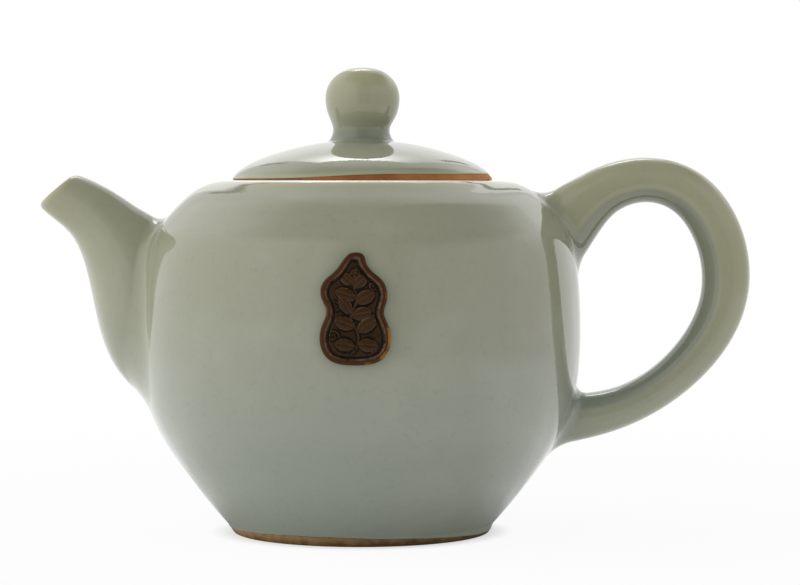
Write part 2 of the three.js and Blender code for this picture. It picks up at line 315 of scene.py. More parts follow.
class SpoutSizes(bpy.types.PropertyGroup):
    """The spout and the strainer behind it."""

    stand_off: length("Spout reach", "Reach of the spout off the belly", 20)
    lip_width: length("Lip width", "Width of the spout at its lip", 9.4)
    root_width: length("Root width", "Width of the spout at its root", 24)
    lip_wall: length("Lip wall", "Thickness of the spout at its lip", 1.5)
    root_wall: length("Root wall", "Thickness of the spout at its root", 2.6)
    lip_round: length("Lip rounding", "Depth over which the lip is rounded", 1.2)
    flare_above: length("Upper flare", "Reach of the fillet above the spout", 2.2)
    flare_beside: length("Side flare", "Reach of the fillet beside the spout", 4)
    flare_below: length("Lower flare", "Reach of the fillet below the spout", 3.5)
    flare_between: length("Corner flare", "How much further the fillet reaches at the lower corners", 3.2)
    strainer_wall: length("Strainer wall", "Thickness of the strainer", 1.8)
    strainer_hole: length("Strainer hole radius", "Radius of each hole of the strainer", 1.1)
    strainer_pitch: length("Strainer pitch", "Distance between the strainer's rings of holes", 3.9)
    strainer_rings: count("Strainer rings", "Rings of holes round the strainer's middle hole", 2)
    pooling: share("Spout pooling", "How much the glaze gathers round the spout's root", 0.07)


class HandleSizes(bpy.types.PropertyGroup):
    """The pulled handle."""

    stand_off: length("Handle reach", "Reach of the handle's middle line off the belly", 33.5)
    thickness: length("Handle thickness", "Thickness of the section in the plane of the ring", 9.5)
    width: length("Handle width", "Width of the section across the ring", 10.6)
    fullness: share("Fullness", "Exponent of the section: 1 is an ellipse and less is squarer", 0.88)
    flare_outside: length("Outer flare", "Reach of the fillets on the outside of the ring", 4)
    flare_beside: length("Side flare", "Reach of the fillets beside the ring", 2.6)
    flare_inside: length("Inner flare", "Reach of the fillets on the inside of the ring", 2.8)
    pooling: share("Handle pooling", "How much the glaze gathers round the handle's roots", 0.3)


class PlaqueSizes(bpy.types.PropertyGroup):
    """The gourd-shaped plaque on the front."""

    width: length("Plaque width", "Width of the gourd's lower bulb", 12.5)
    height: length("Plaque height", "Height from the gourd's foot to its tip", 20.7)
    thickness: length("Plaque thickness", "Height of the rim above the wall", 0.95)
    shift: length("Plaque shift", "Shift of the plaque's middle from the pot's middle", -0.4)
    lean: length("Tip lean", "How far the tip leans aside", 0.5)
    upper_shift: length("Upper shift", "How far the upper bulb stands towards the spout", 0.3)
    rim: length("Rim width", "Width of the raised rim", 1.05)
    groove: length("Groove width", "Width of the groove inside the rim", 0.34)
    recess: length("Field recess", "Depth of the field below the rim", 0.5)
    line: length("Fine line width", "Width of the fine raised line and of the stem", 0.16)
    relief: length("Relief", "Height of the leaves above the field", 0.4)
    centre_share: share("Height share", "Height of the plaque's middle as a share of the seat's", 0.662)
    pooling: share("Plaque pooling", "How much the glaze gathers round the plaque", 0.22)


class GlazeColours(bpy.types.PropertyGroup):
    """Colours of the glazes and the bare clays."""

    warm: colour("Warm celadon", "Glaze high on the pot", 150, 151, 130)
    cool: colour("Cool celadon", "Glaze low on the pot", 152, 158, 146)
    pale: colour("Pale cloud", "Lighter clouds in the glaze", 168, 170, 152)
    # Also paints a dark reflection and shade down the inside of the handle's ring
    pooled: colour("Pooled celadon", "Glaze that gathers in creases", 112, 122, 105)
    thin: colour("Thin celadon", "Glaze that draws thin over edges", 169, 167, 126)
    # Painted highlight: the pale line on the shoulder just outside the lid's edge
    edge: colour("Edge of the glaze", "Glaze that ends in a fine pale line", 236, 233, 222)
    crack: colour("Crackle", "Hair lines in the glaze", 118, 120, 104)
    foot_clay: colour("Foot clay", "Bare clay of the foot", 166, 132, 88)
    # Also the colour of the painted shade on the foot, towards the floor and on the handle's side
    foot_clay_dark: colour("Burnt foot clay", "Darker patches of the foot's clay", 90, 68, 42)
    lid_clay: colour("Lid clay", "Bare clay of the lid's edge and the seat", 206, 134, 54)
    lid_clay_dark: colour("Burnt lid clay", "Darker patches of the lid's clay", 110, 50, 3)
    plaque_deep: colour("Deep brown", "Glaze in the plaque's hollows", 15, 8, 2)
    plaque_brown: colour("Brown", "Glaze on the plaque's field", 58, 37, 13)
    plaque_red: colour("Red brown", "Glaze drawn thin over the plaque's rim", 70, 34, 10)
    plaque_amber: colour("Amber", "Spots where the clay shows through the plaque's glaze", 150, 104, 18)
    # Partly painted glints: the pale line where the glaze breaks thin over the plaque's ridges also stands in
    # for their gloss
    plaque_glint: colour("Fine line", "Pale breaks in the glaze along the plaque's ridges", 146, 118, 92)


class StudioSettings(bpy.types.PropertyGroup):
    """The camera, the soft box and the pale surroundings."""

    distance: length("Camera distance", "Distance from the camera to the pot's middle plane", 550)
    aside: length("Camera aside", "How far the camera stands to the handle's side", 1.1)
    eye: length("Eye height", "Height of the camera", 70.4)
    pitch: angle("Pitch", "How far the camera looks down", 2.35)
    focal: FloatProperty(name="Focal length", description="Focal length on a sensor 36 mm wide",
                         default=123.75, unit="CAMERA")
    sensor: FloatProperty(name="Sensor width", description="Width of the sensor", default=36, unit="CAMERA")
    ambient: share("Ambient light", "Strength of the even light from all round", 0.78)
    overhead: share("Overhead light", "Strength of the even light from straight above", 0.6)
    floor_half: length("Floor", "Half the width of the floor", 3000)
    floor_near: length("Shaded floor", "How far from the pot the floor starts to turn plain white", 60)
    floor_far: length("White floor", "How far from the pot the floor is plain white", 330)
    key: share("Side light", "Radiance of the soft box on the spout's side", 1.5)
    box_wide: length("Soft box width", "Width of the soft box", 1260)
    box_high: length("Soft box height", "Height of the soft box", 670)
    box_distance: length("Soft box distance", "Distance from the soft box to the pot", 900)
    box_turn: angle("Soft box turn", "Direction of the soft box, from behind the pot", -92)
    box_rise: angle("Soft box rise", "Angle of the soft box above the floor", 22.5)


GROUPS = {"pot_sizes": PotSizes, "lid_sizes": LidSizes, "spout_sizes": SpoutSizes,
          "handle_sizes": HandleSizes, "plaque_sizes": PlaqueSizes, "glaze_colours": GlazeColours,
          "studio": StudioSettings}


# Curves and surfaces

def mix(low, high, part):
    """The value that lies a part of the way from low to high."""
    return low + (high - low) * part


def step(values, low, high):
    """A smooth step from 0 to 1 while values go from low to high."""
    part = np.clip((values - low) / (high - low), 0, 1)
    return part * part * (3 - 2 * part)


def peak(values, middle, reach, power=2):
    """1 where values are at a middle, fading over a reach on both sides of it."""
    return np.exp(-((values - middle) / reach) ** power)


def unit(ways):
    """Ways of length 1."""
    return ways / np.linalg.norm(ways, axis=-1, keepdims=True)


def spline(controls, places):
    """Points, at places from 0 to 1, of the smooth cubic curve that its control points draw."""
    controls = np.array(controls, float)
    spans = len(controls) - DEGREE
    knots = np.concatenate([np.zeros(DEGREE), np.linspace(0, 1, spans + 1), np.ones(DEGREE)])
    t = np.minimum(places, 1 - SLIVER)[:, None]
    weights = ((knots[:-1] <= t) & (t < knots[1:])).astype(float)
    for order in range(1, DEGREE + 1):
        width = knots[order:] - knots[:-order]
        width[width == 0] = 1
        rise = (t - knots[:-order - 1]) / width[:-1]
        fall = (knots[order + 1:] - t) / width[1:]
        weights = rise * weights[:, :-1] + fall * weights[:, 1:]
    return weights @ controls


def normals_of(outline):
    """The ways square to a flat outline, to its right."""
    along = unit(np.gradient(outline, axis=0))
    return np.stack([along[:, 1], -along[:, 0]], -1)


def travelled(points):
    """How far along a row of points each one lies."""
    return np.concatenate([[0], np.cumsum(np.linalg.norm(np.diff(points, axis=0), axis=-1))])


def walked(points, distances):
    """The places at the given distances along a row of points."""
    lengths = travelled(points)
    return np.stack([np.interp(distances, lengths, axis) for axis in points.T], -1)


def divided(points, spacing):
    """The row of points again, with more between those that lie further apart than the spacing."""
    rows = []
    for start, end in zip(points[:-1], points[1:]):
        parts = max(1, math.ceil(np.linalg.norm(end - start) / spacing))
        rows.append(mix(start, end, np.linspace(0, 1, parts, endpoint=False)[:, None]))
    return np.vstack([*rows, points[-1:]])


def bend(start, corner, end, steps):
    """Points of a curve that leaves its start towards a corner and comes from there to its end."""
    part = np.linspace(0, 1, steps + 1)[:, None]
    return mix(mix(start, corner, part), mix(corner, end, part), part)


def softened(outline, cut):
    """An outline whose sharp corners are rounded off, from a cut before each to a cut past it."""
    points = np.array(outline, float)
    ways = unit(np.diff(points, axis=0))
    corners = 1 + np.flatnonzero((ways[1:] * ways[:-1]).sum(-1) < CORNER)
    lengths = travelled(points)
    rows, passed = [], -1.0
    for corner in corners:
        before = lengths[corner] - lengths[max([c for c in corners if c < corner], default=0)]
        after = lengths[min([c for c in corners if c > corner], default=len(points) - 1)] - lengths[corner]
        reach = min(cut, before / 2, after / 2)
        kept = (lengths > passed) & (lengths < lengths[corner] - reach)
        start, end = walked(points, [lengths[corner] - reach, lengths[corner] + reach])
        rows += [points[kept], bend(start, points[corner], end, BEND_STEPS)]
        passed = lengths[corner] + reach
    return np.vstack([*rows, points[lengths > passed]])


def around(turns):
    """Even turns round an axis."""
    return np.linspace(0, 2 * np.pi, turns, endpoint=False)


def off_axis(points):
    """How far points lie from the pot's axis."""
    return np.hypot(points[..., 0] - POT_AXIS, points[..., 1])


def turned(outline, turns):
    """Rings round the pot's axis, one for each radius and height of an outline."""
    turn = around(turns)
    radius, height = np.asarray(outline).T[..., None]
    return np.stack([POT_AXIS + radius * np.cos(turn), radius * np.sin(turn), height + 0 * turn], -1)


def ripple(turn, waves=(3, 7, 13), phases=(0.4, 2.1, 4.4)):
    """A gentle unevenness round the pot, from about -1 to 1."""
    return sum(np.sin(wave * turn + phase) for wave, phase in zip(waves, phases)) / len(waves)


def wall_outline():
    """The wall's outer outline, from the glaze line to the lid's edge."""
    pot, lid = bpy.context.scene.pot_sizes, bpy.context.scene.lid_sizes
    up = SEAT_HEIGHT - FOOT_HEIGHT
    controls = [(mix(inner, pot.belly_radius, out), FOOT_HEIGHT + up * high)
                for inner, shares in ((pot.glaze_radius, LOWER_WALL_SHARES), (lid.radius, UPPER_WALL_SHARES))
                for out, high in shares]
    return spline(controls, np.linspace(0, 1, WALL_SAMPLES))


def dome_outline():
    """The lid's outer outline, from its edge to its middle."""
    lid = bpy.context.scene.lid_sizes
    edge = (lid.radius, SEAT_HEIGHT + lid.edge)
    rest = [(lid.radius * out, SEAT_HEIGHT + lid.rise * up) for out, up in DOME_SHARES]
    return spline([edge, *rest], np.linspace(0, 1, WALL_SAMPLES))


def bezier(start, leave, arrive, end, steps):
    """Points of a cubic curve from start to end."""
    part = np.linspace(0, 1, steps + 1).reshape(-1, *[1] * np.ndim(start))
    return (start * (1 - part) ** 3 + 3 * leave * part * (1 - part) ** 2
            + 3 * arrive * part ** 2 * (1 - part) + end * part ** 3)


def nearest(points, places):
    """For each of some points, the index of the nearest of some places, and how far away that lies."""
    flat = points.reshape(-1, points.shape[-1])
    index, apart = [], []
    for part in np.array_split(flat, len(flat) // BATCH + 1):
        squares = ((part[:, None] - places) ** 2).sum(-1)
        index.append(squares.argmin(1))
        apart.append(np.sqrt(squares.min(1)))
    return np.concatenate(index), np.concatenate(apart).reshape(points.shape[:-1])


class Wall:
    """The pot's outer wall, as the surface that other pieces are luted to."""

    def __init__(self):
        self.outline = wall_outline()
        self.normals = normals_of(self.outline)

    def under(self, points):
        """For each point, the wall's place next to it, the wall's way out there and the height above it."""
        shape = points.shape[:-1]
        points = points.reshape(-1, 3)
        aside = points[:, :2] - (POT_AXIS, 0)
        radius = off_axis(points)
        flat = np.stack([radius, points[:, 2]], -1)
        index, _ = nearest(flat, self.outline)
        out = self.normals[index]
        height = ((flat - self.outline[index]) * out).sum(-1)
        round_way = aside / radius[:, None]
        normal = np.concatenate([round_way * out[:, :1], out[:, 1:]], -1)
        return ((points - normal * height[:, None]).reshape(*shape, 3), normal.reshape(*shape, 3),
                height.reshape(shape))


class Columns:
    """Rings of points, seen as columns that run into the wall."""

    def __init__(self, rows, wall):
        self.rows = rows
        self.sides = np.arange(rows.shape[1])
        steps = np.linalg.norm(np.diff(rows, axis=0), axis=-1)
        self.lengths = np.concatenate([np.zeros((1, len(self.sides))), np.cumsum(steps, axis=0)])
        height = wall.under(rows)[2]
        past = np.argmax(height < 0, axis=0)
        above, below = height[past - 1, self.sides], height[past, self.sides]
        before, after = self.lengths[past - 1, self.sides], self.lengths[past, self.sides]
        self.crossing = mix(before, after, above / (above - below))

    def at(self, distances):
        """The points at a row of distances down each column."""
        distances = distances + 0 * self.crossing
        columns = [[np.interp(distances[:, side], self.lengths[:, side], self.rows[:, side, axis])
                    for axis in range(3)] for side in self.sides]
        return np.array(columns).transpose(2, 0, 1)

    def between(self, start, end, stations):
        """Rings at even steps from one distance down the columns to another."""
        return self.at(mix(start, end, np.linspace(0, 1, stations)[:, None]))

    def flared(self, wall, reach, start, stations, sink=0.012 * MM, bury=0.9 * MM, pull=0.6):
        """The rings, ended by a fillet that lies down on the wall, and one more ring buried in the wall.

        Each column leaves its way a reach before the wall and ends a reach beside its crossing, sunk a bit.
        """
        hits = self.at(self.crossing[None])[0]
        leave = self.crossing - reach
        body = self.between(start, leave, stations)
        way = unit(body[-1] - self.at(leave[None] - FINEST)[0])
        away = unit(np.cross(np.roll(hits, -1, 0) - np.roll(hits, 1, 0), wall.under(hits)[1]))
        away *= np.sign((away * (hits - hits.mean(0))).sum())
        place, normal, _ = wall.under(hits + away * reach[:, None])
        lying = unit(away - normal * (away * normal).sum(-1, keepdims=True))
        end = place - normal * sink
        pulls = pull * reach[:, None]
        fillet = bezier(body[-1], body[-1] + way * pulls, end - lying * pulls, end, FLARE_STEPS)
        return np.concatenate([body, fillet[1:], (end - normal * bury)[None]])

    def lip(self, bore, deep):
        """Rings that lead from the bore to these columns over a rounded lip of a given depth."""
        high, low = self.at(np.array([[deep]])), bore.at(np.array([[deep]]))
        middle, half = (high + low) / 2, (high - low) / 2
        tip = (self.rows[0] + bore.rows[0]) / 2 - middle
        turn = np.linspace(np.pi, 0, LIP_STEPS + 1)[1:-1, None, None]
        return middle + half * np.cos(turn) + tip * np.sin(turn)


def oval_rows(centres, reaches, half_widths, sides, fullness=1.0):
    """Oval rings: a reach is the way from a ring's middle to its upper edge, and its width lies along Y."""
    turn = around(sides)
    up, across = (np.sign(wave) * np.abs(wave) ** fullness for wave in (np.cos(turn), np.sin(turn)))
    rows = centres[:, None] + reaches[:, None] * up[:, None]
    rows[..., 1] += half_widths[:, None] * across
    return rows


def round_reach(sides, above, beside, below, between=0.0):
    """A reach for each side of an oval ring: above, beside and below it, and more between the last two."""
    turn = around(sides)
    up = np.cos(turn)
    return (beside + (above - beside) * np.maximum(up, 0) ** 2 + (below - beside) * np.maximum(-up, 0) ** 2
            + between * np.sin(2 * turn) ** 2 * (up < 0))


def spout_rows(inset):
    """The spout's rings from lip to root, drawn inwards by a share of its wall."""
    pot, spout = bpy.context.scene.pot_sizes, bpy.context.scene.spout_sizes
    t = np.linspace(0, 1, SPOUT_STATIONS)

    def edge(which):
        line = [shares[which] for shares in SPOUT_SHARES]
        return spline([(POT_AXIS - pot.belly_radius - spout.stand_off * out, 0, SEAT_HEIGHT * up)
                       for out, up in line], t)

    top, bottom = edge(0), edge(1)
    width = spline([[mix(spout.lip_width, spout.root_width, grown)] for _, _, grown in SPOUT_SHARES], t)[:, 0]
    wall = inset * mix(spout.lip_wall, spout.root_wall, t)
    centre, reach = (top + bottom) / 2, (top - bottom) / 2
    reach *= 1 - (wall / np.linalg.norm(reach, axis=-1))[:, None]
    return oval_rows(centre, reach, width / 2 - wall, SPOUT_SIDES)


def spout_columns(wall):
    """The spout's outside and its bore, as columns from the lip to the wall."""
    return Columns(spout_rows(0), wall), Columns(spout_rows(1), wall)


def handle_rows():
    """The handle's rings from its upper to its lower root, set square to its middle line."""
    pot, handle = bpy.context.scene.pot_sizes, bpy.context.scene.handle_sizes
    t = np.linspace(0, 1, 2 * HANDLE_STATIONS)
    line = spline([(POT_AXIS + pot.belly_radius + handle.stand_off * out, 0, SEAT_HEIGHT * up)
                   for out, up, _, _ in HANDLE_SHARES], t)
    girth = spline([(handle.thickness * thick, handle.width * wide)
                    for _, _, thick, wide in HANDLE_SHARES], t)
    along = unit(np.gradient(line, axis=0))
    reach = np.stack([-along[:, 2], along[:, 1], along[:, 0]], -1) * girth[:, :1] / 2
    return oval_rows(line, reach, girth[:, 1] / 2, HANDLE_SIDES, handle.fullness)


def handle_columns(wall):
    """The halves of the handle, as columns from its middle to its upper and its lower root."""
    rows = handle_rows()
    return Columns(rows[:HANDLE_STATIONS][::-1], wall), Columns(rows[HANDLE_STATIONS:], wall)


# Meshes

def skin(name, rows, looped=False, **marks):
    """A closed mesh over rings of points: the last ring joins the first, or a fan closes each end."""
    corners = np.arange(rows[..., 0].size).reshape(rows.shape[:2])
    low, high = (corners, np.roll(corners, -1, 0)) if looped else (corners[:-1], corners[1:])
    faces = np.stack([low, np.roll(low, -1, 1), np.roll(high, -1, 1), high], -1).reshape(-1, 4).tolist()
    points = rows.reshape(-1, 3)
    if not looped:
        points = np.vstack([points, rows[0].mean(0), rows[-1].mean(0)])
        for ring, middle in ((corners[0][::-1], corners.size), (corners[-1], corners.size + 1)):
            faces += [[a, b, middle] for a, b in zip(ring, np.roll(ring, -1))]
    mesh = bpy.data.meshes.new(name)
    mesh.from_pydata(points.tolist(), [], faces)
    for mark, values in marks.items():
        values = np.broadcast_to(values, corners.shape).ravel()
        values = np.concatenate([values, np.zeros(len(points) - len(values))]).astype(np.float32)
        mesh.attributes.new(mark, "FLOAT", "POINT").data.foreach_set("value", values)
    shape = bmesh.new()
    shape.from_mesh(mesh)
    if shape.calc_volume(signed=True) < 0:
        bmesh.ops.reverse_faces(shape, faces=shape.faces)
        shape.to_mesh(mesh)
    shape.free()
    return piece_of(name, mesh)


def piece_of(name, mesh):
    """An object for a finished mesh, smooth but for its sharp edges."""
    mesh.shade_smooth()
    mesh.set_sharp_from_angle(angle=SHARP)
    return placed(name, mesh)


def placed(name, data):
    """A new object in the scene that holds a mesh, a lamp or a camera."""
    thing = bpy.data.objects.new(name, data)
    bpy.context.collection.objects.link(thing)
    return thing


def applied(piece):
    """The piece again as a plain mesh, with what its modifiers make of it."""
    shapes = bpy.context.evaluated_depsgraph_get()
    mesh = bpy.data.meshes.new_from_object(piece.evaluated_get(shapes))
    name = piece.name
    bpy.data.meshes.remove(piece.data)
    mesh.name = name
    return piece_of(name, mesh)


def settle(piece, material, body, node):
    """Gives a finished piece its material, body and slot, and lets it stand for its node."""
    piece.data.materials.clear()
    piece.data.materials.append(material)
    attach(piece, body)
    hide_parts(node)


def nearness(points, line, reach):
    """How near points lie to a line of points: 1 on it, fading over a reach."""
    return peak(nearest(points, line)[1], 0, reach)


def gathered(points, wall):
    """How much the glaze gathers at points beside the plaque and the roots of the spout and the handle.

    The roots are found from a few of the spout's and the handle's rings and sides.
    """
    scene = bpy.context.scene
    spout, handle, plaque = scene.spout_sizes, scene.handle_sizes, scene.plaque_sizes
    depth = plaque.pooling * nearness(points, laid_on(wall, gourd_edge(), 0), PLAQUE_POOL)
    rows = handle_rows()[::6, ::4]
    half = len(rows) // 2
    coarse = ((spout.pooling, spout_rows(0)[::3, ::4]), (handle.pooling, rows[:half][::-1]),
              (handle.pooling, rows[half:]))
    for most, rings in coarse:
        columns = Columns(rings, wall)
        root = columns.at(columns.crossing[None])[0]
        depth = depth + most * nearness(points, divided(np.vstack([root, root[:1]]), FINE), ROOT_POOL)
    return depth


# Nodes

class Value:
    """A socket's value in a tree of nodes, which Python sums can use."""

    def __init__(self, nodes, socket):
        self.nodes, self.socket = nodes, socket

    def sum(self, operation, *values):
        """What a Math node makes of some values."""
        return self.nodes.node("ShaderNodeMath", {"operation": operation}, *values)

    def also(self, name):
        """Another output of the same node."""
        return Value(self.nodes, self.socket.node.outputs[name])

    def __add__(self, other):
        return self.sum("ADD", self, other)

    def __sub__(self, other):
        return self.sum("SUBTRACT", self, other)

    def __rsub__(self, other):
        return self.sum("SUBTRACT", other, self)

    def __mul__(self, other):
        return self.sum("MULTIPLY", self, other)

    def __truediv__(self, other):
        return self.sum("DIVIDE", self, other)

    def __pow__(self, other):
        return self.sum("POWER", self, other)

    def __abs__(self):
        return self.sum("ABSOLUTE", self)

    __radd__, __rmul__ = __add__, __mul__


class Nodes:
    """Adds nodes to a tree."""

    def __init__(self, tree):
        self.tree = tree
        tree.nodes.clear()

    def node(self, kind, settings, *inputs, out=0, **named):
        """One node, given its settings and then its sockets' values or links, as one of its outputs."""
        node = self.tree.nodes.new(kind)
        for name, value in settings.items():
            setattr(node, name, value)
        shown = [socket for socket in node.inputs if socket.enabled]
        by_name = {socket.name.replace(" ", "_"): socket for socket in reversed(shown)}
        given = [*zip(shown, inputs), *((by_name[name], value) for name, value in named.items())]
        for socket, value in given:
            for link in value if isinstance(value, list) else [value]:
                if isinstance(link, Value):
                    self.tree.links.new(link.socket, socket)
                else:
                    socket.default_value = (*link, 1) if socket.type == "RGBA" and len(link) == 3 else link
        outputs = [socket for socket in node.outputs if socket.enabled]
        if not outputs:
            return None
        return Value(self, node.outputs[out] if isinstance(out, str) else outputs[out])

    def step(self, value, low, high):
        """A smooth step from 0 to 1 while a value goes from low to high."""
        smooth = {"interpolation_type": "SMOOTHSTEP"}
        return self.node("ShaderNodeMapRange", smooth, value, low, high, 0.0, 1.0)

    def blend(self, low, high, part):
        """A colour that lies a part of the way from low to high."""
        return self.node("ShaderNodeMix", {"data_type": "RGBA"}, part, low, high)


class Finish(Nodes):
    """A material whose patterns are measured in millimetres on the object's own coordinates."""

    def __init__(self, name):
        self.material = bpy.data.materials.new(name)
        self.material.use_nodes = True
        super().__init__(self.material.node_tree)
        place = self.node("ShaderNodeTexCoord", {}, out="Object")
        self.place = self.node("ShaderNodeVectorMath", {"operation": "SCALE"}, place, Scale=1 / MM)
        self.up = self.node("ShaderNodeSeparateXYZ", {}, self.place, out="Z")

    def mark(self, name):
        """One of the piece's own marks."""
        return self.node("ShaderNodeAttribute", {"attribute_name": name}, out="Fac")

    def noise(self, size, detail=2.0, roughness=0.5):
        """Cloudy noise from 0 to 1, with clouds of a size."""
        return self.node("ShaderNodeTexNoise", {}, Vector=self.place, Scale=1 / size, Detail=detail,
                         Roughness=roughness)

    def warped(self, size, shift):
        """The coordinates, bent by noise of a size."""
        clouds = self.noise(size).also("Color")
        centred = self.node("ShaderNodeVectorMath", {"operation": "SUBTRACT"}, clouds, (0.5, 0.5, 0.5))
        add = {"operation": "MULTIPLY_ADD"}
        return self.node("ShaderNodeVectorMath", add, centred, (shift,) * 3, self.place)

    def crackle(self, size, width, place):
        """Hair lines between cells of a size: 1 on a line."""
        cells = {"feature": "DISTANCE_TO_EDGE"}
        edge = self.node("ShaderNodeTexVoronoi", cells, Vector=place, Scale=1 / size)
        return 1 - self.step(edge * size, 0.3 * width, width)

    def specks(self, size, radius, place):
        """Scattered round specks: 1 within them."""
        near = self.node("ShaderNodeTexVoronoi", {}, Vector=place, Scale=1 / size, Randomness=1.0)
        return 1 - self.step(near * size, 0.5 * radius, radius)

    def done(self, base, roughness, height, ior):
        """The material, with a height in millimetres as its relief."""
        relief = self.node("ShaderNodeBump", {}, Height=height, Distance=MM)
        shader = self.node("ShaderNodeBsdfPrincipled", {}, Base_Color=base, Roughness=roughness, IOR=ior,
                           Normal=relief)
        self.node("ShaderNodeOutputMaterial", {}, shader)
        return self.material


def celadon():
    """Gloss grey-green glaze, with bare clay where a piece is marked bare."""
    made = bpy.data.materials.get("celadon")
    if made:
        return made
    colours = bpy.context.scene.glaze_colours
    finish = Finish("celadon")
    bent = finish.warped(4.0, 2.2)
    clouds = finish.noise(13.0, 3.0)
    fine = finish.noise(1.6, 3.0, 0.6)
    lines = finish.crackle(5.2, 0.05, bent) * finish.step(finish.noise(11.0), 0.42, 0.6)
    holes = finish.specks(3.4, 0.11, bent) * finish.step(finish.noise(6.0), 0.45, 0.6)
    height = finish.step(finish.up, 12.0, 54.0)
    glaze = finish.blend(colours.cool, colours.warm, height)
    glaze = finish.blend(glaze, colours.pale, finish.step(clouds, 0.45, 0.8) * 0.3)
    glaze = finish.blend(glaze, colours.pooled, finish.step(fine, 0.5, 0.8) * 0.16)
    # The pooled mark is glaze gathered in creases, and on the handle also a painted dark reflection and shade
    # inside the ring
    glaze = finish.blend(glaze, colours.pooled, finish.mark("pooled"))
    # The thin mark pales the glaze where it is drawn thin; on the knob's top it is partly a painted highlight
    glaze = finish.blend(glaze, colours.thin, finish.mark("thin") * 0.8)
    # A thin mark above 1 paints the pale line just outside the lid's edge: a painted highlight
    glaze = finish.blend(glaze, colours.edge, finish.step(finish.mark("thin"), 1.1, 1.9))
    glaze = finish.blend(glaze, colours.crack, lines * 0.12)
    glaze = finish.blend(glaze, colours.foot_clay_dark, holes * 0.35)
    grain = finish.noise(0.35, 3.0, 0.7)
    across = finish.node("ShaderNodeSeparateXYZ", {}, finish.place)
    burnt = 0.3 * finish.step(finish.noise(6.0, 3.0), 0.3, 0.8) + 0.65 * (1 - finish.step(across, -4.0, 27.0))
    bare = finish.mark("bare")
    base = finish.blend(glaze, finish.blend(colours.lid_clay, colours.lid_clay_dark, burnt), bare)
    roughness = 0.02 + 0.03 * clouds + 0.7 * bare
    glossy = 0.07 * finish.noise(9.0, 1.0) + 0.008 * finish.noise(1.1, 1.0) - 0.04 * holes
    relief = glossy * (1 - bare) + grain * bare * 0.08
    return finish.done(base, roughness, relief, GLAZE_IOR)


def clay(name, shaded_share=0.0):
    """Bare fired clay, a little sandy, with painted shade by a share: darker towards the floor and on the
    handle's side.
    """
    colours = bpy.context.scene.glaze_colours
    light, dark = getattr(colours, name), getattr(colours, name + "_dark")
    finish = Finish(name)
    patches = finish.noise(2.6, 4.0, 0.6)
    grain = finish.noise(0.35, 3.0, 0.7)
    side = finish.node("ShaderNodeSeparateXYZ", {}, finish.place)
    # Painted shade: darker towards the floor and on the handle's side, away from the soft box
    painted_shade = 0.45 * finish.step(side, -32.0, 6.0) + 0.45 * (1 - finish.step(finish.up, 0.2, 1.5))
    burnt = finish.step(patches, 0.3, 0.75) * (0.8 - 0.3 * shaded_share) + painted_shade * shaded_share
    base = finish.blend(light, dark, burnt)
    base = finish.blend(base, dark, finish.specks(1.3, 0.22, finish.warped(1.0, 0.6)) * 0.4)
    return finish.done(base, 0.6 + 0.2 * patches, 0.05 * grain + 0.05 * patches, CLAY_IOR)


def plaque_glaze():
    """Dark brown gloss glaze, which draws thin and reddish over what is raised."""
    colours = bpy.context.scene.glaze_colours
    finish = Finish("plaque_glaze")
    raised = finish.mark("raised")
    clouds = finish.noise(2.4, 3.0, 0.6)
    fine = finish.noise(0.5, 2.0)
    thin = raised + 0.4 * (clouds - 0.5) + 0.3 * (fine - 0.5)
    base = finish.blend(colours.plaque_deep, colours.plaque_brown, finish.step(thin, 0.05, 0.55))
    base = finish.blend(base, colours.plaque_red, finish.step(thin, 0.55, 0.95))
    base = finish.blend(base, colours.plaque_amber, finish.step(thin, 1.0, 1.4) * 0.9)
    # Painted glints, broken up by noise, along the ridges, where the glaze also breaks thin
    painted_glints = finish.mark("ridge") * finish.step(fine + clouds, 0.7, 1.3)
    base = finish.blend(base, colours.plaque_glint, painted_glints)
    return finish.done(base, 0.1 + 0.08 * clouds, 0.03 * fine + 0.05 * clouds, PLAQUE_IOR)


# Pieces

def lathed(outline, along, lift, turns):
    """Rings on a turned surface: how far along its outline each point lies and how far it lifts off it."""
    lengths = travelled(outline)
    along, lift = np.broadcast_arrays(along, lift, np.zeros((1, turns)))[:2]
    radius, height = (np.interp(along, lengths, place) + np.interp(along, lengths, out) * lift
                      for place, out in zip(outline.T, normals_of(outline).T))
    turn = around(turns)
    return np.stack([POT_AXIS + radius * np.cos(turn), radius * np.sin(turn), height], -1)


def foot_outline():
    """The foot's outer side, from where it stands up to the glaze line."""
    pot = bpy.context.scene.pot_sizes
    return np.array([(pot.foot_radius - pot.foot_bevel, 0), (pot.foot_radius, pot.foot_bevel),
                     (pot.glaze_radius, FOOT_HEIGHT)])


def thrown(rows):
    """The rings again, as uneven as a hand-thrown pot is at its foot and its shoulder."""
    pot, lid = bpy.context.scene.pot_sizes, bpy.context.scene.lid_sizes
    radius = off_axis(rows)
    side = (rows[..., 0] - POT_AXIS) / (radius + SLIVER)
    height = rows[..., 2] / SEAT_HEIGHT
    rows[..., 0] += pot.foot_shift * np.clip(1 - rows[..., 2] / FOOT_HEIGHT, 0, 1) ** 2
    right = step(side, -1, 1)
    top = mix(LEAN_END_SPOUT, LEAN_END_HANDLE, right)
    lean = side ** 4 * mix(-pot.shoulder_low, pot.shoulder_high, right)
    lean *= step(height, LEAN_START, LEAN_FULL) * (1 - step(height, top - 0.06, top))
    lean *= step(radius, lid.radius, lid.radius + 5 * MM)
    lean *= 1 - step(radius, pot.belly_radius, pot.belly_radius + 10 * MM)
    past = np.clip(radius - lid.radius, 0, None)
    fall = pot.shoulder_fall * (1 - peak(past, 0, 3 * MM, 1.5))
    rows[..., 2] += lean - fall * (1 - side ** 8) * step(height, FALL_START, FALL_FULL)
    return rows


def set_down(rows):
    """The lid's rings again, where the loose lid lies within its play."""
    rows[..., 0] += bpy.context.scene.lid_sizes.aside
    return rows


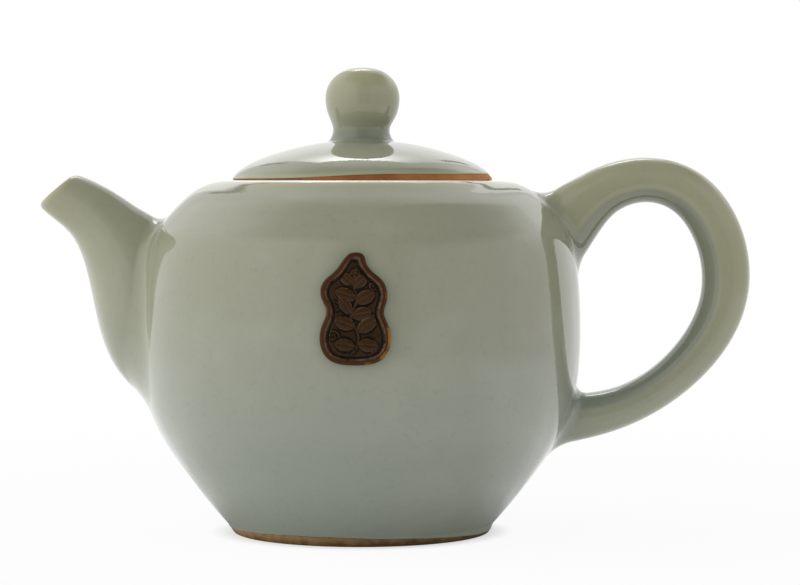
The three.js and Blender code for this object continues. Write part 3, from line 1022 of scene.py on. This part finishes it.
def inner_outline(wall):
    """The pot's inside, from the mouth down to the middle of the floor."""
    pot, lid = bpy.context.scene.pot_sizes, bpy.context.scene.lid_sizes
    mouth, floor = lid.radius - pot.seat_width, FOOT_HEIGHT + pot.floor
    side = wall.outline - wall.normals * pot.wall
    side = side[(side[:, 0] > mouth) & (side[:, 1] > floor)]
    corner = np.array([side[0][0] - pot.floor_rounding, floor])
    swell = 0.12 * pot.floor_rounding
    knee = (side[0] + corner) / 2 + (swell, -swell)
    round_part = bend(side[0], knee, corner, 3 * BEND_STEPS - 1)[1:-1]
    middle = (0.04 * corner[0], floor)
    return np.vstack([(mouth, side[-1][1]), side[::-INNER_STEP], round_part, corner, middle])


class Piece(bpy.types.Operator):
    """What the operators share."""

    bl_options = {"REGISTER", "UNDO"}


def wall_rows(wall):
    """The wall's rings, from the floor's underside over the outside, the seat and the inside to the floor."""
    pot, lid = bpy.context.scene.pot_sizes, bpy.context.scene.lid_sizes
    outline = np.vstack([foot_outline()[:-1], wall.outline])
    lengths = travelled(outline)
    turn = around(TURNS)
    line = mix(pot.glaze_low, pot.glaze_high, (0.5 + 0.5 * np.cos(turn - pot.glaze_turn)) ** 2)
    start = np.interp(line + pot.glaze_waver * ripple(turn), outline[:3, 1], lengths[:3])
    proud = pot.glaze_step
    bead = np.linspace(0, np.pi / 2, BEND_STEPS + 1)[:, None]
    skirt = lathed(outline, start + proud * (1 - np.cos(bead)), proud * (np.sin(bead) - 1), TURNS)
    part = np.linspace(0, 1, WALL_RINGS)[1:-1, None]
    side = lathed(outline, mix(start + proud, lengths[-SEAT_SAMPLES], part), 0, TURNS)
    mouth = lid.radius - pot.seat_width
    corners = [wall.outline[-SEAT_SAMPLES], wall.outline[-1], (mouth + pot.mouth_bevel, SEAT_HEIGHT),
               (mouth, SEAT_HEIGHT - pot.mouth_bevel), (mouth, SEAT_HEIGHT - 2 * pot.wall)]
    seat = softened(corners, pot.softness)
    under = [(0.5 * MM, FOOT_HEIGHT), (pot.foot_radius - pot.foot_width, FOOT_HEIGHT),
             (pot.foot_radius - 1.5 * MM, FOOT_HEIGHT), (pot.foot_radius - 1.2 * MM, 2.1 * MM)]
    return np.concatenate([turned(under, TURNS), skirt, side, turned(divided(seat[:-1], FINE / 4), TURNS),
                           turned(divided(inner_outline(wall), 2.4 * FINE), TURNS)])


def foot_ring():
    """The bare foot's closed outline, which lies a glaze's thickness inside the glazed wall's."""
    pot = bpy.context.scene.pot_sizes
    proud, bevel = pot.glaze_step, pot.foot_bevel
    inner, hidden = pot.foot_radius - pot.foot_width, pot.foot_radius - 2.5 * MM
    below, above = FOOT_HEIGHT - 0.05 * MM, FOOT_HEIGHT + 0.1 * MM
    corners = [(hidden, below), (pot.glaze_radius - proud, below), (pot.foot_radius - proud, bevel),
               (pot.foot_radius - bevel - proud, 0), (inner + bevel, 0), (inner, bevel), (inner, above),
               (hidden, above)]
    return divided(softened(corners, 0.3 * MM), FINE / 3)


class TEAPOT_OT_pot(Piece):
    """Makes the thrown wall with its seat, mouth and pour hole, and the bare foot under it."""

    bl_idname = "teapot.pot"
    bl_label = "Wall and foot"

    def execute(self, context):
        pot, lid = context.scene.pot_sizes, context.scene.lid_sizes
        wall = Wall()
        rows = wall_rows(wall)
        pooled = gathered(rows, wall)
        rows = thrown(rows)
        radius, height = off_axis(rows), rows[..., 2]
        glaze_end = lid.radius - pot.seat_margin
        seat = (height > SEAT_HEIGHT - 0.02 * MM) & (radius > lid.radius - pot.seat_width)
        thin = peak(height, SEAT_HEIGHT, MM) * (radius > glaze_end)
        # Painted highlight: a pale line on the shoulder just outside the lid's edge, marked as thin glaze
        # above 1
        pale = peak(radius, lid.radius + 0.3 * MM, pot.painted_highlight_reach, 4)
        thin += 2 * pale * (height > SEAT_HEIGHT - MM)
        blank = skin("wall_blank", rows, bare=seat & (radius < glaze_end), pooled=pooled, thin=thin)
        drill = skin("pour_drill", drill_rows())
        cut = blank.modifiers.new("pour_hole", "BOOLEAN")
        cut.operation, cut.solver, cut.object = "DIFFERENCE", "MANIFOLD", drill
        piece = applied(blank)
        bpy.data.meshes.remove(drill.data)
        piece.name = piece.data.name = "wall_skin"
        settle(piece, celadon(), "pot", "pot_wall")
        piece = skin("foot_skin", thrown(turned(foot_ring(), TURNS)), looped=True)
        # The foot's clay gets its full share of painted shade
        settle(piece, clay("foot_clay", 1.0), "pot", "foot_ring")
        return {"FINISHED"}


def drill_rows():
    """Rings of the round tool that cuts the pour hole, from inside the pot out through its wall."""
    pot = bpy.context.scene.pot_sizes
    turn = around(DRILL_SIDES)
    along = pot.belly_radius * np.linspace(*DRILL_SHARES, DRILL_RINGS)[:, None] + 0 * turn
    return np.stack([POT_AXIS - along, pot.pour_radius * np.cos(turn) + 0 * along,
                     SEAT_HEIGHT * pot.pour_share + pot.pour_radius * np.sin(turn) + 0 * along], -1)


class TEAPOT_OT_spout(Piece):
    """Makes the hollow spout, luted to the wall by a fillet."""

    bl_idname = "teapot.spout"
    bl_label = "Spout"

    def execute(self, context):
        spout = context.scene.spout_sizes
        wall = Wall()
        outside, bore = spout_columns(wall)
        reach = round_reach(SPOUT_SIDES, spout.flare_above, spout.flare_beside, spout.flare_below,
                            spout.flare_between)
        deep = spout.lip_round + 0 * outside.crossing
        body = outside.flared(wall, reach, deep, SPOUT_STATIONS)
        inside = bore.between(bore.crossing + MM, deep, SPOUT_STATIONS // 2)
        lip = outside.lip(bore, spout.lip_round)
        rows = np.concatenate([body, inside, lip])
        tip = rows[..., 0] - rows[..., 0].min()
        thin = nearness(rows, lip[LIP_STEPS // 2], 1.1 * MM)
        pooled = gathered(rows, wall)
        piece = skin("spout_skin", thrown(rows), looped=True, pooled=pooled,
                     thin=np.clip(0.7 * thin + 0.1 + 0.6 * np.exp(-tip / (4 * MM)), 0, 1))
        settle(piece, celadon(), "pot", "spout")
        return {"FINISHED"}


def pierced_dome():
    """Nodes that pierce a dome by rings of holes, each with more than the last, and move it to its place."""
    tree = bpy.data.node_groups.new("pierced_dome", "GeometryNodeTree")
    nodes = Nodes(tree)
    tree.interface.new_socket("Geometry", in_out="OUTPUT", socket_type="NodeSocketGeometry")
    for name, kind in (("Dome", "Geometry"), ("Outer Radius", "Float"), ("Wall", "Float"),
                       ("Hole Radius", "Float"), ("Pitch", "Float"), ("Place", "Vector"),
                       ("Material", "Material")):
        tree.interface.new_socket(name, in_out="INPUT", socket_type="NodeSocket" + kind)
    given = nodes.node("NodeGroupInput", {}, out="Dome")
    outer, lean = given.also("Outer Radius"), given.also("Pitch") / given.also("Outer Radius")
    places = [nodes.node("GeometryNodePoints", {}, 1, nodes.node("ShaderNodeCombineXYZ", {}, outer))]
    for ring in range(1, bpy.context.scene.spout_sizes.strainer_rings + 1):
        turn = lean * ring
        radius = outer * turn.sum("SINE", turn)
        circle = nodes.node("GeometryNodeMeshCircle", {}, HOLES_PER_RING * ring, radius)
        depth = nodes.node("ShaderNodeCombineXYZ", {}, outer * turn.sum("COSINE", turn))
        places.append(nodes.node("GeometryNodeTransform", {}, circle, Translation=depth,
                                 Rotation=(math.pi / 2, 0, math.pi / 2)))
    points = nodes.node("GeometryNodeJoinGeometry", {}, places)
    drill = nodes.node("GeometryNodeMeshCylinder", {}, HOLE_SIDES, 1, 1, given.also("Hole Radius"),
                       given.also("Wall") * 4)
    out = nodes.node("FunctionNodeAlignRotationToVector", {"axis": "Z"},
                     Vector=nodes.node("GeometryNodeInputPosition", {}))
    drills = nodes.node("GeometryNodeInstanceOnPoints", {}, points, Instance=drill, Rotation=out)
    drills = nodes.node("GeometryNodeRealizeInstances", {}, drills)
    pierced = nodes.node("GeometryNodeMeshBoolean", {"operation": "DIFFERENCE", "solver": "MANIFOLD"},
                         given, [drills])
    moved = nodes.node("GeometryNodeTransform", {}, pierced, Translation=given.also("Place"))
    whole = nodes.node("GeometryNodeRealizeInstances", {}, moved)
    glazed = nodes.node("GeometryNodeSetMaterial", {}, whole, Material=given.also("Material"))
    nodes.node("NodeGroupOutput", {}, glazed)
    return tree


class TEAPOT_OT_strainer(Piece):
    """Makes the pierced dome over the pour hole, inside the pot."""

    bl_idname = "teapot.strainer"
    bl_label = "Strainer"

    def execute(self, context):
        pot, spout = context.scene.pot_sizes, context.scene.spout_sizes
        wall = Wall()
        height = SEAT_HEIGHT * pot.pour_share
        inside = np.interp(height, wall.outline[:, 1], wall.outline[:, 0]) - pot.wall
        outer = pot.pour_radius + spout.strainer_wall
        fall = np.linspace(0.01, np.pi / 2, STRAINER_STEPS)
        shell = np.vstack([np.stack([size * np.sin(fall), size * np.cos(fall)], -1)[::way]
                           for size, way in ((outer, 1), (pot.pour_radius, -1))])
        turn = around(STRAINER_TURNS)
        radius, rise = shell.T[..., None]
        rows = np.stack([rise + 0 * turn, radius * np.cos(turn), radius * np.sin(turn)], -1)
        dome = skin("strainer_blank", rows)
        tree = pierced_dome()
        cut = dome.modifiers.new("holes", "NODES")
        cut.node_group = tree
        values = {"Outer Radius": outer, "Wall": spout.strainer_wall, "Hole Radius": spout.strainer_hole,
                  "Pitch": spout.strainer_pitch, "Place": (POT_AXIS - inside, 0, height),
                  "Material": celadon()}
        for socket in tree.interface.items_tree:
            if socket.name in values:
                cut[socket.identifier] = values[socket.name]
        piece = applied(dome)
        piece.name = piece.data.name = "strainer_dome"
        settle(piece, celadon(), "pot", "spout_strainer")
        return {"FINISHED"}


class TEAPOT_OT_handle(Piece):
    """Makes the ear handle, luted to the wall at both its roots."""

    bl_idname = "teapot.handle"
    bl_label = "Handle"

    def execute(self, context):
        handle = context.scene.handle_sizes
        wall = Wall()
        upper, lower = handle_columns(wall)
        reach = round_reach(HANDLE_SIDES, handle.flare_outside, handle.flare_beside, handle.flare_inside)
        halves = [columns.flared(wall, reach, 0, HANDLE_STATIONS // 2) for columns in (upper, lower)]
        rows = np.concatenate([halves[0][::-1], halves[1]])
        pooled = gathered(rows, wall)
        outward = np.cos(around(HANDLE_SIDES))
        # Painted dark reflection and shade: a band down the inside of the ring, which faces the body, is
        # marked as pooled glaze and kept free of thin glaze
        inner = step(-outward, 0.25, 0.42)
        thin = (0.4 + 0.3 * np.maximum(outward, 0) ** 6) * (1 - pooled / handle.pooling) * (1 - inner)
        piece = skin("handle_skin", thrown(rows), pooled=np.maximum(pooled, 0.38 * inner), thin=thin)
        settle(piece, celadon(), "pot", "handle")
        return {"FINISHED"}


class TEAPOT_OT_plaque(Piece):
    """Makes the gourd-shaped plaque, with a rim, a groove and a vine in its field."""

    bl_idname = "teapot.plaque"
    bl_label = "Plaque"

    def execute(self, context):
        plaque = context.scene.plaque_sizes
        wall = Wall()
        edge = gourd_edge()
        sizes = np.concatenate([[1, 1], np.linspace(1, 0.01, PLAQUE_RINGS)])
        flat = edge * sizes[:, None, None]
        inward = near_line(flat, np.vstack([edge, edge[:1]]))
        rim = np.sqrt(np.clip(1 - (1 - inward / (plaque.rim / 2)) ** 2, 0, 1))
        falling = inward > plaque.rim / 2
        inner_slope = 1 - step(inward, 0.7 * plaque.rim, 1.1 * plaque.rim)
        rise = np.where(falling, inner_slope, 0.35 + 0.65 * rim)
        field = plaque.thickness - plaque.recess
        line = peak(inward, plaque.rim, plaque.line)
        groove = peak(inward, plaque.rim + 1.2 * plaque.groove, 0.6 * plaque.groove)
        start = plaque.rim + 1.6 * plaque.groove
        vine, outline = (values * step(inward, start, start + 0.4 * MM) for values in vine_height(flat))
        shares = flat / (plaque.width, plaque.height)
        amber = sum(peak(np.linalg.norm(shares - place, axis=-1), 0, reach) for place, reach in AMBER_SHARES)
        lift = np.where(falling, mix(field, plaque.thickness, rise), plaque.thickness * rise)
        lift = lift - 0.15 * MM * groove * falling + 0.2 * MM * line + plaque.relief * vine
        # Painted glints along the edges of the leaves and the stem
        leaf_edge_glint = peak(vine, 0.42, 0.13)
        outer = 1 - step(inward, 0.4 * plaque.rim, 0.8 * plaque.rim)
        raised = mix(0.42, 0.78, rise) + 0.52 * amber * outer - 0.5 * groove
        raised += 0.12 * vine ** 2 - 0.5 * outline
        lift[0], lift[1] = -0.4 * MM, 0.0
        # The ridge mark: the rim's fine line and the leaves' edges, where glints are painted
        ridge = 0.5 * line * falling + 0.5 * leaf_edge_glint
        piece = skin("plaque_relief", thrown(laid_on(wall, flat, lift)), raised=raised, ridge=ridge)
        settle(piece, plaque_glaze(), "pot", "seal_plaque")
        return {"FINISHED"}


def gourd_edge():
    """The plaque's flat outline, round its middle."""
    plaque = bpy.context.scene.plaque_sizes
    half = spline([(plaque.width / 2 * out, plaque.height * (up - 0.5)) for out, up in GOURD_SHARES],
                  np.linspace(0, 1, 4 * PLAQUE_SIDES))
    edge = np.vstack([half, half[-2:0:-1] * (-1, 1)])
    return walked(np.vstack([edge, edge[:1]]), travelled(edge)[-1] * np.linspace(0, 1, PLAQUE_SIDES + 1)[:-1])


def laid_on(wall, flat, lift):
    """The plaque's flat points, bent round the wall and lifted off it."""
    plaque = bpy.context.scene.plaque_sizes
    up = flat[..., 1] / plaque.height
    aside = plaque.shift + plaque.lean * step(up, 0.38, 0.52) - plaque.upper_shift * step(up, 0, 0.2)
    height = SEAT_HEIGHT * plaque.centre_share + flat[..., 1]
    radius, out, rise = (np.interp(height, wall.outline[:, 1], values)
                         for values in (wall.outline[:, 0], *wall.normals.T))
    turn = (flat[..., 0] + aside) / radius
    far = radius + out * lift
    return np.stack([POT_AXIS + far * np.sin(turn), -far * np.cos(turn), height + rise * lift], -1)


def near_line(points, *lines):
    """How far flat points lie from the nearest of some lines."""
    return nearest(points, np.vstack([divided(line, FINEST) for line in lines]))[1]


def vine_height(flat):
    """How high a stem with tendrils and leaves stands on the plaque, up to 1, and a mark along its edges."""
    plaque = bpy.context.scene.plaque_sizes
    size = np.array([plaque.width, plaque.height])
    stem = spline(np.array(STEM_SHARES) * size, np.linspace(0, 1, STEM_STEPS))
    points = flat.reshape(-1, 2)
    turn = np.linspace(0, 3 * np.pi, CURL_STEPS)
    widening = plaque.width * np.linspace(0.15, 1, CURL_STEPS)[:, None]
    curls = [np.array(middle) * size + np.stack([hand * np.cos(turn), np.sin(turn)], -1) * radius * widening
             for middle, radius, hand in CURL_SHARES]
    apart = near_line(points, stem, *curls)
    height = 0.8 * peak(apart, 0, 0.9 * plaque.line)
    outline = peak(apart, 2.2 * plaque.line, plaque.line)
    for root, long, wide, points_to in LEAF_SHARES:
        turn = math.radians(points_to)
        way = np.array([math.cos(turn), math.sin(turn)])
        aside = points - np.array(root) * size
        u = aside @ way / (long * plaque.width)
        v = aside @ (-way[1], way[0]) / (wide * plaque.width / 2)
        girth = np.sqrt(np.clip(np.sin(np.pi * np.clip(u, 0, 1)), 0, 1)) + SLIVER
        leaf = np.sqrt(np.clip(1 - (v / girth) ** 2, 0, 1)) * (u > 0) * (u < 1)
        vein = 1 - 0.45 * peak(v, 0, 0.16)
        height = np.maximum(height, leaf * vein)
        rim = peak(np.abs(v) / girth, 1.12, 0.16)
        outline = np.maximum(outline, rim * (u > -0.04) * (u < 1.04))
    return height.reshape(flat.shape[:-1]), (outline * (height < 0.3)).reshape(flat.shape[:-1])


def lid_rows():
    """The lid's rings, from its clay edge over the glaze's bead and the dome to the vent, and back below.

    The clay's, the bead's, the dome's and the hidden ones come apart, with the height of the hidden shelf.
    """
    lid = bpy.context.scene.lid_sizes
    dome = dome_outline()
    turn = around(LID_TURNS)
    side = step(np.cos(turn), -0.8, 0.35)
    band = mix(lid.band_low, lid.band_high, side) + lid.band_waver * ripple(turn, (2, 5, 9))
    proud = lid.band_step
    clay_rows = lathed(dome, band * np.linspace(0, 1, CLAY_RINGS)[:, None], -proud, LID_TURNS)
    bead = np.linspace(0, np.pi / 2, BEND_STEPS + 1)[:, None]
    beads = lathed(dome, band + 1.5 * proud * (1 - np.cos(bead)), proud * (np.sin(bead) - 1), LID_TURNS)
    part = np.linspace(0, 1, DOME_RINGS)[1:, None]
    vent_edge = travelled(dome)[-1] - lid.vent - 0.4 * MM
    glazed = lathed(dome, mix(band + 1.5 * proud, vent_edge, part), 0, LID_TURNS)
    collar, _ = collar_radii()
    under = dome - normals_of(dome) * lid.thickness
    under = under[(under[:, 0] > lid.vent) & (under[:, 0] < collar)]
    shelf, seat = under[0][1], SEAT_HEIGHT + 0.02 * MM
    below = [(collar, shelf - 0.4 * MM), (collar, seat), (lid.radius - 0.9 * MM, seat),
             (lid.radius - proud - 0.25 * MM, SEAT_HEIGHT + 0.05 * MM)]
    hidden = np.vstack([(lid.vent, dome[-1][1] - 0.4 * MM), under[::-UNDER_STEP], under[0], *below])
    return clay_rows, beads, glazed, turned(divided(hidden, 2 * FINE), LID_TURNS), shelf


def collar_radii():
    """The inner and the outer radius of the collar under the lid."""
    pot, lid = bpy.context.scene.pot_sizes, bpy.context.scene.lid_sizes
    outer = lid.radius - pot.seat_width - lid.clearance
    return outer - lid.collar, outer


def collar_ring():
    """The collar's closed outline."""
    lid = bpy.context.scene.lid_sizes
    inner, outer = collar_radii()
    bottom, taper = SEAT_HEIGHT - lid.collar_depth, lid.collar_taper
    corners = [(inner + MM, SEAT_HEIGHT), (inner, SEAT_HEIGHT), (inner, bottom), (outer - taper, bottom),
               (outer, bottom + taper), (outer, SEAT_HEIGHT), (inner + MM, SEAT_HEIGHT)]
    return divided(softened(corners, 0.35 * MM), FINE)


class TEAPOT_OT_lid(Piece):
    """Makes the domed lid with its clay edge, and the bare collar under it."""

    bl_idname = "teapot.lid"
    bl_label = "Lid"

    def execute(self, context):
        lid = context.scene.lid_sizes
        *parts, shelf = lid_rows()
        rows = np.concatenate(parts)
        bead_start, dome_start, hidden_start = np.cumsum([len(part) for part in parts[:3]])
        ring = np.arange(len(rows))[:, None]
        clay_below = (ring >= hidden_start) & (rows[..., 2] < SEAT_HEIGHT + 0.3 * MM)
        bare = (ring < bead_start + 2) | clay_below
        edge = 0.5 * ((ring >= bead_start + 2) & (ring < dome_start + 2))
        down = (ring - dome_start) / (hidden_start - dome_start - 1) * travelled(dome_outline())[-1]
        skirt = peak(down, 0, 2.4 * MM) * ((ring >= dome_start) & (ring < hidden_start))
        past_knob = np.clip(off_axis(rows) - lid.knob_radius - lid.knob_flare, 0, None)
        neck = peak(past_knob, 0, 1.3 * MM) * (rows[..., 2] > shelf)
        piece = skin("lid_dome", set_down(rows), looped=True, bare=bare, thin=edge,
                     pooled=0.5 * neck + 0.2 * skirt)
        settle(piece, celadon(), "lid", "lid_cap")
        piece = skin("lid_collar", set_down(turned(collar_ring(), LID_TURNS)), looped=True)
        settle(piece, clay("lid_clay"), "lid", "lid_flange")
        return {"FINISHED"}


class TEAPOT_OT_knob(Piece):
    """Makes the ball knob with its vent, on a neck that spreads over the dome."""

    bl_idname = "teapot.knob"
    bl_label = "Knob"

    def execute(self, context):
        lid = context.scene.lid_sizes
        dome = dome_outline()
        normals = normals_of(dome)
        land = lid.knob_radius * KNOB_SHARES[0][0] + lid.knob_margin
        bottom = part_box("lid_knob")[0].z
        knob = spline([(lid.knob_radius * out, bottom + lid.knob_height * up) for out, up in KNOB_SHARES],
                      np.linspace(0, 1, KNOB_SAMPLES))
        ball = knob[(knob[:, 1] > bottom + lid.knob_fillet) & (knob[:, 0] > lid.vent + 0.35 * MM)]
        rim = land + lid.knob_flare
        index = np.argmin(np.abs(dome[:, 0] - rim))
        end = dome[index] - normals[index] * 0.05 * MM
        inward = unit(dome[index + 1] - dome[index - 1])
        way = unit(ball[0] - ball[3])
        pull = 0.5 * np.linalg.norm(end - ball[0])
        flare = bezier(end, end + inward * pull, ball[0] + way * pull, ball[0], FLARE_STEPS)
        top = ball[-1]
        outside = np.vstack([flare[:-1], ball[::KNOB_STEP], top])
        vent = np.array([(lid.vent + 0.1 * MM, top[1] - 0.12 * MM), (lid.vent, top[1] - 0.4 * MM),
                         (lid.vent, bottom - 2 * MM), (rim - MM, end[1] - 1.2 * MM),
                         (rim, end[1] - 0.8 * MM)])
        rows = turned(np.vstack([divided(outside, FINE / 2), divided(vent, 2 * FINE)]), KNOB_TURNS)
        height = rows[..., 2] - bottom
        rows[..., 0] -= lid.knob_aside * (1 - step(height, 2 * MM, 6 * MM)) * (height > 0.2 * MM)
        pooled = peak(height, 1.4 * MM, 2.2 * MM)
        # Paler towards the top: glaze drawn thin there, and partly a painted highlight on the knob's top
        thin = 0.38 + 0.6 * step(height / lid.knob_height, 0.72, 1.02)
        piece = skin("knob_ball", set_down(rows), looped=True, pooled=0.8 * pooled, thin=thin * (1 - pooled))
        settle(piece, celadon(), "lid", "lid_knob")
        return {"FINISHED"}


class TEAPOT_OT_stage(Piece):
    """Makes the floor, the pale surroundings, the soft box and the camera."""

    bl_idname = "teapot.stage"
    bl_label = "Studio"

    def execute(self, context):
        studio = context.scene.studio
        half = studio.floor_half
        corners = [(-half, -half, 0), (half, -half, 0), (half, half, 0), (-half, half, 0)]
        mesh = bpy.data.meshes.new("floor")
        mesh.from_pydata(corners, [], [(0, 1, 2, 3)])
        mesh.materials.append(floor_paper(studio))
        placed("floor", mesh)
        surroundings(studio)
        soft_box(studio)
        view = bpy.data.cameras.new("camera")
        view.lens, view.sensor_width, view.clip_start = studio.focal, studio.sensor, 0.01
        camera = placed("camera", view)
        camera.location = (studio.aside, -studio.distance, studio.eye)
        camera.rotation_euler = (math.pi / 2 - studio.pitch, 0, 0)
        context.scene.camera = camera
        context.scene.view_settings.view_transform = "Standard"
        return {"FINISHED"}


def soft_box(studio):
    """A flat lamp on the spout's side that looks at the pot."""
    lamp = bpy.data.lights.new("side_box", "AREA")
    lamp.shape, lamp.size, lamp.size_y = "RECTANGLE", studio.box_wide, studio.box_high
    lamp.energy = studio.key * math.pi * studio.box_wide * studio.box_high
    box = placed("side_box", lamp)
    turn, rise = studio.box_turn, studio.box_rise
    away = Vector((math.sin(turn) * math.cos(rise), math.cos(turn) * math.cos(rise), math.sin(rise)))
    box.location = Vector((0, 0, cad_high.z / 2)) + away * studio.box_distance
    box.rotation_euler = away.to_track_quat("Z", "Y").to_euler()
    box.visible_glossy = False


def ray_kinds(nodes):
    """Two masks: rays that come straight from the eye, also through glass, and rays in the gloss."""
    rays = nodes.node("ShaderNodeLightPath", {}, out="Is Camera Ray")
    return rays + rays.also("Is Transmission Ray"), rays.also("Is Glossy Ray")


def turn_of(way):
    """The direction of a way in degrees, from behind the pot towards the handle."""
    return way.sum("ARCTAN2", way, way.also("Y")) * (180 / math.pi)


def round_room(nodes, turn, shine):
    """A brightness that changes from stretch to stretch round the room."""
    level = shine[0][2]
    for (_, _, before), (start, width, after) in zip(shine, shine[1:]):
        level = level + (after - before) * nodes.step(turn, start, start + width)
    return level


def floor_paper(studio):
    """White paper, which keeps the pot's shadow near it and turns plain white further off; in the gloss it
    glows with painted light and a painted shadow near the pot.
    """
    material = bpy.data.materials.new("floor_paper")
    material.use_nodes = True
    nodes = Nodes(material.node_tree)
    place = nodes.node("ShaderNodeTexCoord", {}, out="Object")
    distance = nodes.node("ShaderNodeVectorMath", {"operation": "DISTANCE"}, place, (POT_AXIS, 0, 0))
    turn = turn_of(nodes.node("ShaderNodeSeparateXYZ", {}, place))
    near, far_off = round_room(nodes, turn, FLOOR_SHINE), round_room(nodes, turn, WALL_SHINE)
    shine = near + (far_off - near) * nodes.step(distance, 180 * MM, 450 * MM)
    # Painted shadow near the pot, in the floor's glow in the gloss
    shade = 0.1 + 0.6 * nodes.step(distance, 26 * MM, 40 * MM) + 0.3 * nodes.step(distance, 40 * MM, 70 * MM)
    straight, glossy = ray_kinds(nodes)
    past_foot = nodes.step(distance, 25.5 * MM, 31 * MM)
    far = nodes.step(distance, studio.floor_near, studio.floor_far)
    seen = straight * (0.6 + 0.33 * past_foot + 0.07 * far) + glossy * (0.8 + 0.2 * far)
    paper = nodes.node("ShaderNodeBsdfDiffuse", {}, (0.9, 0.9, 0.9, 1))
    # In the gloss the floor glows: painted light by direction, times the painted shadow
    white = nodes.node("ShaderNodeEmission", {}, 1 + glossy * (shine * shade - 1), 1.0)
    shown = nodes.node("ShaderNodeMixShader", {}, seen, paper, white)
    nodes.node("ShaderNodeOutputMaterial", {}, shown)
    return material


def room_shine(nodes, turn, rise):
    """The room as the gloss shows it: its walls, a window, a bright panel behind the pot, and dark poles.

    Turns and rises are in degrees. The walls fade upwards, and soonest on the handle's side.
    """
    fading = 42 + 8 * nodes.step(turn, -28.0, -18.0) - 23 * nodes.step(turn, 24.0, 36.0)
    window = nodes.step(rise, 12.0, 28.0) - nodes.step(rise, 34.0, 46.0)
    window = 0.4 * window * (nodes.step(turn, 17.0, 24.0) - nodes.step(turn, 60.0, 84.0))
    shown = round_room(nodes, turn, WALL_SHINE) + window
    shown = shown * (1 - 0.85 * nodes.step(rise, fading, fading + 32))
    glow = nodes.step(rise, 28.0, PANEL_TOP) ** 2 * (1 - nodes.step(abs(turn + 3), 3.0, PANEL_HALF + 3))
    panel = 1.2 + 0.4 * nodes.step(rise, 8.0, 30.0) + 5.0 * glow
    inside = 1 - nodes.step(abs(turn), PANEL_HALF - 0.8, PANEL_HALF)
    inside = inside * (1 - nodes.step(rise, PANEL_TOP - 1, PANEL_TOP))
    shown = shown + (panel - shown) * inside
    for place, height, half in POLES:
        across = 1 - nodes.step(abs(turn - place), 0.5, 1.4)
        along = 1 - nodes.step(abs(rise - height), half - 1.5, half + 1.5)
        shown = shown * (1 - 0.8 * across * along)
    return shown


def surroundings(studio):
    """Even light, white to the eye, and in the gloss a room with a bright panel behind the pot."""
    world = bpy.data.worlds.new("surroundings")
    bpy.context.scene.world = world
    world.use_nodes = True
    nodes = Nodes(world.node_tree)
    way = nodes.node("ShaderNodeSeparateXYZ", {}, nodes.node("ShaderNodeTexCoord", {}, out="Generated"))
    rise = way.sum("ARCSINE", way.also("Z")) * (180 / math.pi)
    shown = room_shine(nodes, turn_of(way), rise)
    ambient = studio.ambient + (studio.overhead - studio.ambient) * nodes.step(rise, 10.0, 80.0)
    straight, glossy = ray_kinds(nodes)
    strength = straight + (1 - straight) * (glossy * shown + (1 - glossy) * ambient)
    light = nodes.node("ShaderNodeBackground", {}, (1, 1, 1, 1), strength)
    nodes.node("ShaderNodeOutputWorld", {}, light)


OPERATORS = (TEAPOT_OT_pot, TEAPOT_OT_spout, TEAPOT_OT_strainer, TEAPOT_OT_handle, TEAPOT_OT_plaque,
             TEAPOT_OT_lid, TEAPOT_OT_knob, TEAPOT_OT_stage)


class TEAPOT_PT_pieces(bpy.types.Panel):
    """The teapot's sizes, colours and pieces."""

    bl_idname = "TEAPOT_PT_pieces"
    bl_label = "Teapot"
    bl_space_type = "VIEW_3D"
    bl_region_type = "UI"
    bl_category = "Teapot"

    def draw(self, context):
        for operator in OPERATORS:
            self.layout.operator(operator.bl_idname)
        for group, kind in GROUPS.items():
            box = self.layout.box()
            box.label(text=kind.__doc__)
            for name in kind.__annotations__:
                box.prop(getattr(context.scene, group), name)


CLASSES = (*GROUPS.values(), *OPERATORS, TEAPOT_PT_pieces)


def register():
    """Makes the operators, the panel and the groups of sizes known to Blender."""
    for kind in CLASSES:
        bpy.utils.register_class(kind)
    for name, kind in GROUPS.items():
        setattr(bpy.types.Scene, name, PointerProperty(type=kind))


def unregister():
    """Takes them away again."""
    for name in GROUPS:
        delattr(bpy.types.Scene, name)
    for kind in reversed(CLASSES):
        bpy.utils.unregister_class(kind)


def main():
    """Makes all the pieces and the studio."""
    register()
    for operator in OPERATORS:
        group, name = operator.bl_idname.split(".")
        getattr(getattr(bpy.ops, group), name)()


if __name__ == "__main__":
    main()
